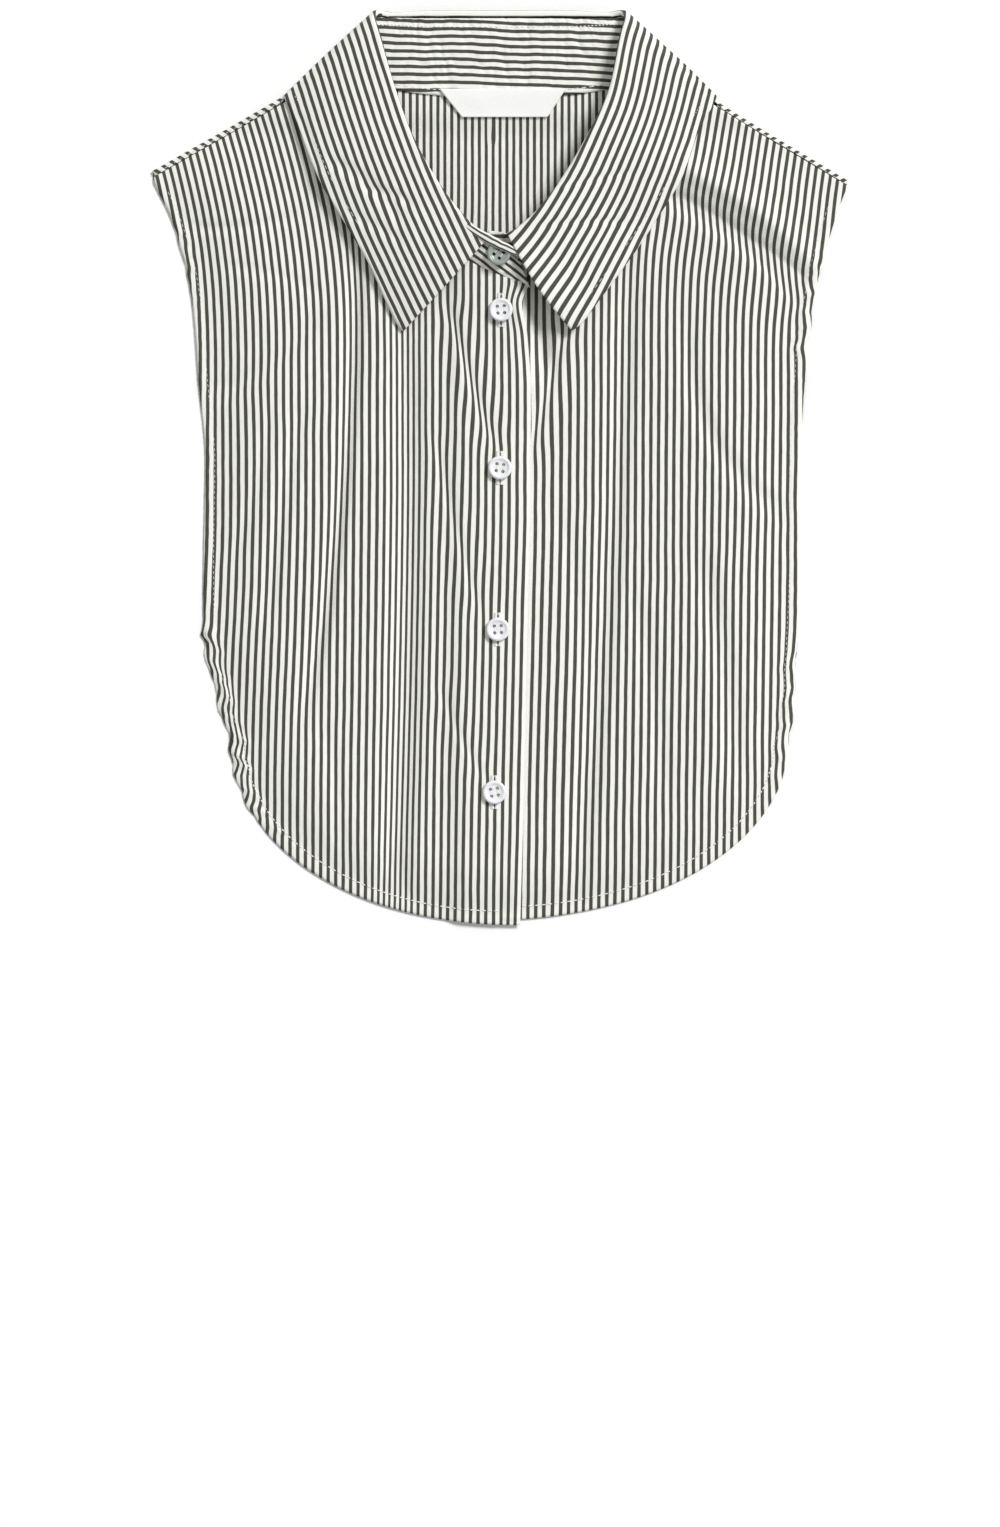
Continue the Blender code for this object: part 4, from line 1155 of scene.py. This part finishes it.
def curl_surface(share_along, share_over):
    behind, middle, ahead = (
        Vector([curl_track(name, share_along + step) for name in ("across", "up")])
        for step in (-0.01, 0.0, 0.01)
    )
    along = (ahead - behind).normalized()
    sideways = Vector((-along.y, along.x))
    angle = math.radians(CURL_SWEEP[0] + (CURL_SWEEP[1] - CURL_SWEEP[0]) * share_over)
    half_width = curl_track("half_width", share_along)
    wave = CURL_WAVE * noise.noise(Vector((9.0 * share_along, 1.5 * share_over, 3.0)))
    plan = middle + sideways * (half_width * math.sin(angle) + wave)
    lift = curl_track("lift", share_along) + CURL_HEIGHT * half_width * math.cos(angle) + wave
    cut = CURL_STRIPES[0] + (CURL_STRIPES[1] - CURL_STRIPES[0]) * share_over
    return Vector((plan.x, plan.y, lift)), cut, CURL_LENGTH * share_along


curl = lay_cloth("throat_edge", CURL_FACES, curl_surface, CURL_WALL)
curl.data.materials.append(poplin)
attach(curl, "root")

# Stitching
# White sewing thread: the lockstitch of the turned hem, the shoulders and the collar, and the buttonholes'
# satin stitch. The needle went through all the layers, so each stitch sits half sunk in the cloth.

STITCH_PITCH = 2.6
STITCH_SHARE = 0.72
THREAD_RADIUS = 0.30
FINE_THREAD_RADIUS = 0.14
BUTTON_THREAD_RADIUS = 0.17
HEM_ROW = 171.0
ARMHOLE_ROW = 268.0
ARMHOLE_ROW_BELOW = 9.0
SHOULDER_ROW = 70.0
SHOULDER_ROW_SPAN = (0.04, 0.74)
SHOULDER_STITCH_IN = 1.9
STAND_ROWS = (0.11, 0.93)
LEAF_ROW = 118.0
LEAF_ROW_ENDS = 6.0
LEAF_STITCH_IN = 5.5
BUTTONHOLE_LENGTH = 16.0
BUTTONHOLE_HALF_WIDTH = 2.0
BUTTONHOLE_CUT = 0.22
SATIN_PITCH = 0.36
SATIN_RADIUS = 0.28
SATIN_RAGGED = 0.22
THREAD_WHITE = (0.86, 0.86, 0.83)


def white_thread():
    """Twisted cotton thread, its tone uneven from stitch to stitch."""
    material, tree, shader = new_material("white_thread")
    shader.inputs["Roughness"].default_value = 0.62
    shader.inputs["Sheen Weight"].default_value = 0.25
    twist = noise_node(tree, object_place(tree), 2600.0, 2.0)
    tone = ramp_node(tree, twist, 0.3, 0.7, 0.88, 1.08)
    link(tree, shaded(tree, THREAD_WHITE, tone), shader.inputs["Base Color"])
    return material


thread = white_thread()


def sewn(name, bars, radius):
    """Short bars of thread with drawn-in ends, joined in one mesh."""
    points, faces = [], []
    for start, end in bars:
        along = end - start
        sideways = along.cross(Vector((0.0, 0.0, 1.0))).normalized() * radius
        rise = sideways.cross(along).normalized() * radius
        first = len(points)
        points.append(placed(start))
        for share in (0.2, 0.8):
            middle = start + along * share
            ring = (middle + sideways, middle + rise, middle - sideways, middle - rise)
            points.extend(placed(point) for point in ring)
        points.append(placed(end))
        for turn in range(4):
            after = (turn + 1) % 4
            low, high = first + 1 + turn, first + 1 + after
            faces.append((first, low, high))
            faces.append((low, low + 4, high + 4, high))
            faces.append((first + 9, high + 4, low + 4))
    mesh = bpy.data.meshes.new(name)
    mesh.from_pydata(points, [], faces)
    mesh.shade_smooth()
    mesh.materials.append(thread)
    piece = add_object(name, mesh)
    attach(piece, "root")
    return piece


def stitch_row(track, reach, pitch=STITCH_PITCH):
    """Thread bars along a track, which is given by share, and its length."""
    count = max(1, round(reach / pitch))
    return [(track(step / count), track((step + STITCH_SHARE) / count)) for step in range(count)]


def on_face(side, across, up, above):
    return front_place(side, across, up) + Vector((0.0, 0.0, 0.5 * BODY_WALL + above))


def hem_row(side):
    """Stitches along the turned hem, from the armhole to the front edge."""
    def track(share):
        angle = 0.5 * math.pi * share
        across = (HEM_HALF_WIDTH[side] - HEM_TURN) * math.cos(angle)
        up = HEM_CENTRE_UP - (HEM_DROP[side] - HEM_TURN) * math.sin(angle)
        return on_face(side, side * across, up, 0.06)

    return stitch_row(track, HEM_ROW)


def armhole_row(side):
    """Stitches up an armhole, from the hem's widest place to the shoulder."""
    def track(share):
        up = HEM_CENTRE_UP + (SHOULDER_TIP[side][1] - ARMHOLE_ROW_BELOW - HEM_CENTRE_UP) * share
        return on_face(side, side * (armhole_out(side, up) - turn_width(up)), up, 0.0)

    return stitch_row(track, ARMHOLE_ROW)


def shoulder_row(side):
    """Stitches on the rolled edge of the back, along a shoulder."""
    tip, corner, _, inward = shoulder_frame(side)
    start, end = SHOULDER_ROW_SPAN

    def track(share):
        place = tip.lerp(corner, start + (end - start) * share) + inward * SHOULDER_STITCH_IN
        lift = body_lift(*(place + inward)) + OVER_FRONT + 0.5 * BODY_WALL
        return Vector((place.x, place.y, lift + 0.05))

    return stitch_row(track, SHOULDER_ROW)


def stand_row(share_across):
    """Stitches round the inside of the stand at the back of the neck."""
    start, end = SECTION_PLACE["right turn 5"], SECTION_PLACE["left turn 5"]

    def track(share):
        place = start + (end - start) * share
        normal = stand_frame(place)[2]
        return stand_place(place, share_across) - normal * (0.5 * COLLAR_WALL + 0.02)

    return stitch_row(track, end - start)


def leaf_row():
    """Stitches along the outer edge of the leaf where it lies face up."""
    rows = []
    spans = (
        (LEAF_START + LEAF_ROW_ENDS, SECTION_PLACE["right turn 1"]),
        (SECTION_PLACE["left turn 1"], LEAF_END - LEAF_ROW_ENDS),
    )
    for start, end in spans:
        def track(share):
            place = start + (end - start) * share
            roll, edge, _, normal = collar_frame(place)
            rows_share = 1.0 - LEAF_STITCH_IN / (edge - roll).length * (1.0 - LEAF_ROLL_ROWS)
            return leaf_place(place, rows_share) + normal * (0.5 * COLLAR_WALL)

        rows.extend(stitch_row(track, LEAF_ROW))
    return rows


def buttonhole(across, up):
    """Satin stitches down both sides of an upright buttonhole, and across its two ends."""
    bars = []
    count = round(BUTTONHOLE_LENGTH / SATIN_PITCH)
    for step in range(count + 1):
        at = up + BUTTONHOLE_LENGTH * (step / count - 0.5)
        ragged = SATIN_RAGGED * noise.noise(Vector((3.1 * step, across, up)))
        tack = step < 3 or step > count - 3
        for side in (-1, 1):
            inner = 0.0 if tack else BUTTONHOLE_CUT
            start = on_face(-1, across + side * inner, at, 0.24)
            end = on_face(-1, across + side * (BUTTONHOLE_HALF_WIDTH + ragged), at + 0.5 * ragged, 0.12)
            bars.append((start, end))
    return bars


sewn("hem_stitches", hem_row(-1) + hem_row(1), THREAD_RADIUS)
fine_bars = [bar for side in (-1, 1) for bar in armhole_row(side) + shoulder_row(side)]
sewn("armhole_stitches", fine_bars + leaf_row(), FINE_THREAD_RADIUS)
sewn("stand_stitches", [bar for share in STAND_ROWS for bar in stand_row(share)], THREAD_RADIUS)

# Buttons
# Five turned shirt buttons of cast resin with a raised rim and four holes, sewn on with white thread. The
# four down the front are white. The one on the stand is of the same make, and its colour is its own grey
# darkened further with painted shade for the collar's shadow that it lies in.

BUTTON_STEPS = 64
SHARP_ANGLE = 40.0
HOLE_RADIUS = 0.86
HOLE_SPREAD = 1.65
HOLE_STEPS = 20
DRILL_DEPTH = 6.0
DISH_HEIGHT = 1.5
THREAD_RISE = 0.02
THREAD_PAIR = 0.15
THREAD_DRAWN_IN = 0.35
THREAD_SUNK = {"button_stand": 0.13}
BUTTON_WHITE = (0.86, 0.865, 0.89)
# The stand button's own grey, made darker with painted shade.
STAND_BUTTON_GREY_AND_SHADE = (0.31, 0.345, 0.315)
ProfilePoint = namedtuple("ProfilePoint", "out height")
BUTTON_PROFILE = tuple(ProfilePoint(*row) for row in (
    (0.0, 1.50), (2.9, 1.50), (3.55, 1.62), (4.00, 1.98), (4.45, 2.24), (4.95, 2.28), (5.40, 2.08),
    (5.68, 1.66), (5.75, 1.20), (5.55, 0.62), (4.90, 0.18), (4.20, 0.0), (0.0, 0.0),
))
ButtonRow = namedtuple("ButtonRow", "node turn colour")
BUTTONS = (
    ButtonRow("button_1", 4.0, BUTTON_WHITE),
    ButtonRow("button_2", -7.0, BUTTON_WHITE),
    ButtonRow("button_3", 3.0, BUTTON_WHITE),
    ButtonRow("button_4", 9.0, BUTTON_WHITE),
    ButtonRow("button_stand", -38.0, STAND_BUTTON_GREY_AND_SHADE),
)


def cast_resin(name, colour):
    """Softly polished cast resin with a faint milky cloud in it."""
    material, tree, shader = new_material(name)
    shader.inputs["Roughness"].default_value = 0.28
    shader.inputs["Coat Weight"].default_value = 0.3
    shader.inputs["Coat Roughness"].default_value = 0.12
    cloud = noise_node(tree, object_place(tree), 420.0, 3.0)
    tone = ramp_node(tree, cloud, 0.3, 0.7, 0.94, 1.04)
    link(tree, shaded(tree, colour, tone), shader.inputs["Base Color"])
    return material


def turned_blank():
    """The button's profile turned round its axis."""
    blank = bmesh.new()
    outline = [blank.verts.new((point.out * MM, 0.0, point.height * MM)) for point in BUTTON_PROFILE]
    edges = [blank.edges.new(pair) for pair in zip(outline, outline[1:])]
    bmesh.ops.spin(
        blank, geom=outline + edges, cent=(0.0, 0.0, 0.0), axis=(0.0, 0.0, 1.0),
        angle=2.0 * math.pi, steps=BUTTON_STEPS,
    )
    bmesh.ops.remove_doubles(blank, verts=blank.verts, dist=0.01 * MM)
    bmesh.ops.recalc_face_normals(blank, faces=blank.faces)
    return blank


def hole_drills():
    """Four straight drills where the thread goes through."""
    drills = bmesh.new()
    for across in (-HOLE_SPREAD, HOLE_SPREAD):
        for up in (-HOLE_SPREAD, HOLE_SPREAD):
            place = Matrix.Translation(Vector((across, up, 1.0)) * MM)
            bmesh.ops.create_cone(
                drills, cap_ends=True, segments=HOLE_STEPS, radius1=HOLE_RADIUS * MM,
                radius2=HOLE_RADIUS * MM, depth=DRILL_DEPTH * MM, matrix=place,
            )
    return drills


def drilled_button():
    """One finished button at the origin, as a mesh that all five are made from."""
    solids = []
    for name, form in (("blank", turned_blank()), ("drills", hole_drills())):
        mesh = bpy.data.meshes.new(name)
        form.to_mesh(mesh)
        form.free()
        solids.append(add_object(name, mesh))
    blank, drills = solids
    drilling = blank.modifiers.new("holes", "BOOLEAN")
    drilling.operation = "DIFFERENCE"
    drilling.solver = "EXACT"
    drilling.object = drills
    view = bpy.context.evaluated_depsgraph_get()
    mesh = bpy.data.meshes.new_from_object(blank.evaluated_get(view))
    for solid in solids:
        bpy.data.objects.remove(solid)
    mesh.shade_smooth()
    mesh.set_sharp_from_angle(angle=math.radians(SHARP_ANGLE))
    return mesh


def button_threads(middle, height, turn):
    """Two pairs of strands, each pair drawn tight between two holes."""
    bars = []
    turned = Matrix.Rotation(math.radians(turn), 3, "Z")
    reach = HOLE_SPREAD - THREAD_DRAWN_IN
    for across in (-HOLE_SPREAD, HOLE_SPREAD):
        for strand in (-THREAD_PAIR, THREAD_PAIR):
            ends = []
            for up in (-reach, reach):
                offset = turned @ Vector((across + strand, up, 0.0))
                ends.append(Vector((middle.x + offset.x, middle.y + offset.y, height)))
            bars.append(tuple(ends))
    return bars


button_mesh = drilled_button()
resins = {}
hole_bars, thread_bars = [], []
for row in BUTTONS:
    low, high = (Vector(corner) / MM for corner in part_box(row.node))
    middle = Vector((0.5 * (low.x + high.x) + MIDDLE[0], 0.5 * (low.y + high.y) + MIDDLE[1]))
    seat = Vector((middle.x - MIDDLE[0], middle.y - MIDDLE[1], low.z)) * MM
    mesh = button_mesh.copy()
    mesh.name = row.node + "_turned"
    mesh.transform(Matrix.Translation(seat) @ Matrix.Rotation(math.radians(row.turn), 4, "Z"))
    button = add_object(row.node + "_turned", mesh)
    if row.colour not in resins:
        resins[row.colour] = cast_resin(f"cast_resin_{len(resins) + 1}", row.colour)
    mesh.materials.clear()
    mesh.materials.append(resins[row.colour])
    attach(button, "root")
    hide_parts(row.node)
    thread_height = low.z + DISH_HEIGHT + THREAD_RISE - THREAD_SUNK.get(row.node, 0.0)
    thread_bars += button_threads(middle, thread_height, row.turn)
    if row.node != "button_stand":
        hole_bars += buttonhole(middle.x, middle.y)
bpy.data.meshes.remove(button_mesh)
sewn("button_threads", thread_bars, BUTTON_THREAD_RADIUS)
sewn("buttonholes", hole_bars, SATIN_RADIUS)

# Floor, light and camera
# A plain white table, one large soft light from the upper right, a bright room, and the camera straight
# above, as in the photograph.

CAMERA_HEIGHT = 2.2
VIEW_UP = 79.0
VIEW_TALL = 746.7
SENSOR = 36.0
WORLD_STRENGTH = 0.42
KEY_STRENGTH = 2.68
KEY_SPREAD = 18.0
KEY_FROM = (0.70, 0.62, 1.0)
TABLE_WHITE = (0.97, 0.97, 0.97)
TABLE_HALF = 6.0


def white_table():
    """Matt white paint, its tone very slightly uneven."""
    material, tree, shader = new_material("white_table")
    shader.inputs["Roughness"].default_value = 0.9
    shader.inputs["Specular IOR Level"].default_value = 0.1
    grain = noise_node(tree, object_place(tree), 3.0, 2.0)
    tone = ramp_node(tree, grain, 0.2, 0.8, 0.99, 1.01)
    link(tree, shaded(tree, TABLE_WHITE, tone), shader.inputs["Base Color"])
    return material


ground = bmesh.new()
bmesh.ops.create_grid(ground, x_segments=1, y_segments=1, size=TABLE_HALF)
ground_mesh = bpy.data.meshes.new("table")
ground.to_mesh(ground_mesh)
ground.free()
ground_mesh.materials.append(white_table())
add_object("table", ground_mesh)

key_data = bpy.data.lights.new("key", "SUN")
key_data.energy = KEY_STRENGTH
key_data.angle = math.radians(KEY_SPREAD)
key = add_object("key", key_data)
key.rotation_mode = "QUATERNION"
key.rotation_quaternion = Vector(KEY_FROM).to_track_quat("Z", "Y")

world = bpy.data.worlds.new("bright_room")
world.use_nodes = True
world.node_tree.nodes["Background"].inputs["Color"].default_value = (1.0, 1.0, 1.0, 1.0)
world.node_tree.nodes["Background"].inputs["Strength"].default_value = WORLD_STRENGTH
bpy.context.scene.world = world

camera_data = bpy.data.cameras.new("camera")
camera_data.sensor_width = SENSOR
camera_data.lens = SENSOR * CAMERA_HEIGHT / (VIEW_TALL * MM)
camera = add_object("camera", camera_data)
camera.location = (0.0, (VIEW_UP - MIDDLE[1]) * MM, CAMERA_HEIGHT)
bpy.context.scene.camera = camera
bpy.context.scene.view_settings.view_transform = "Standard"
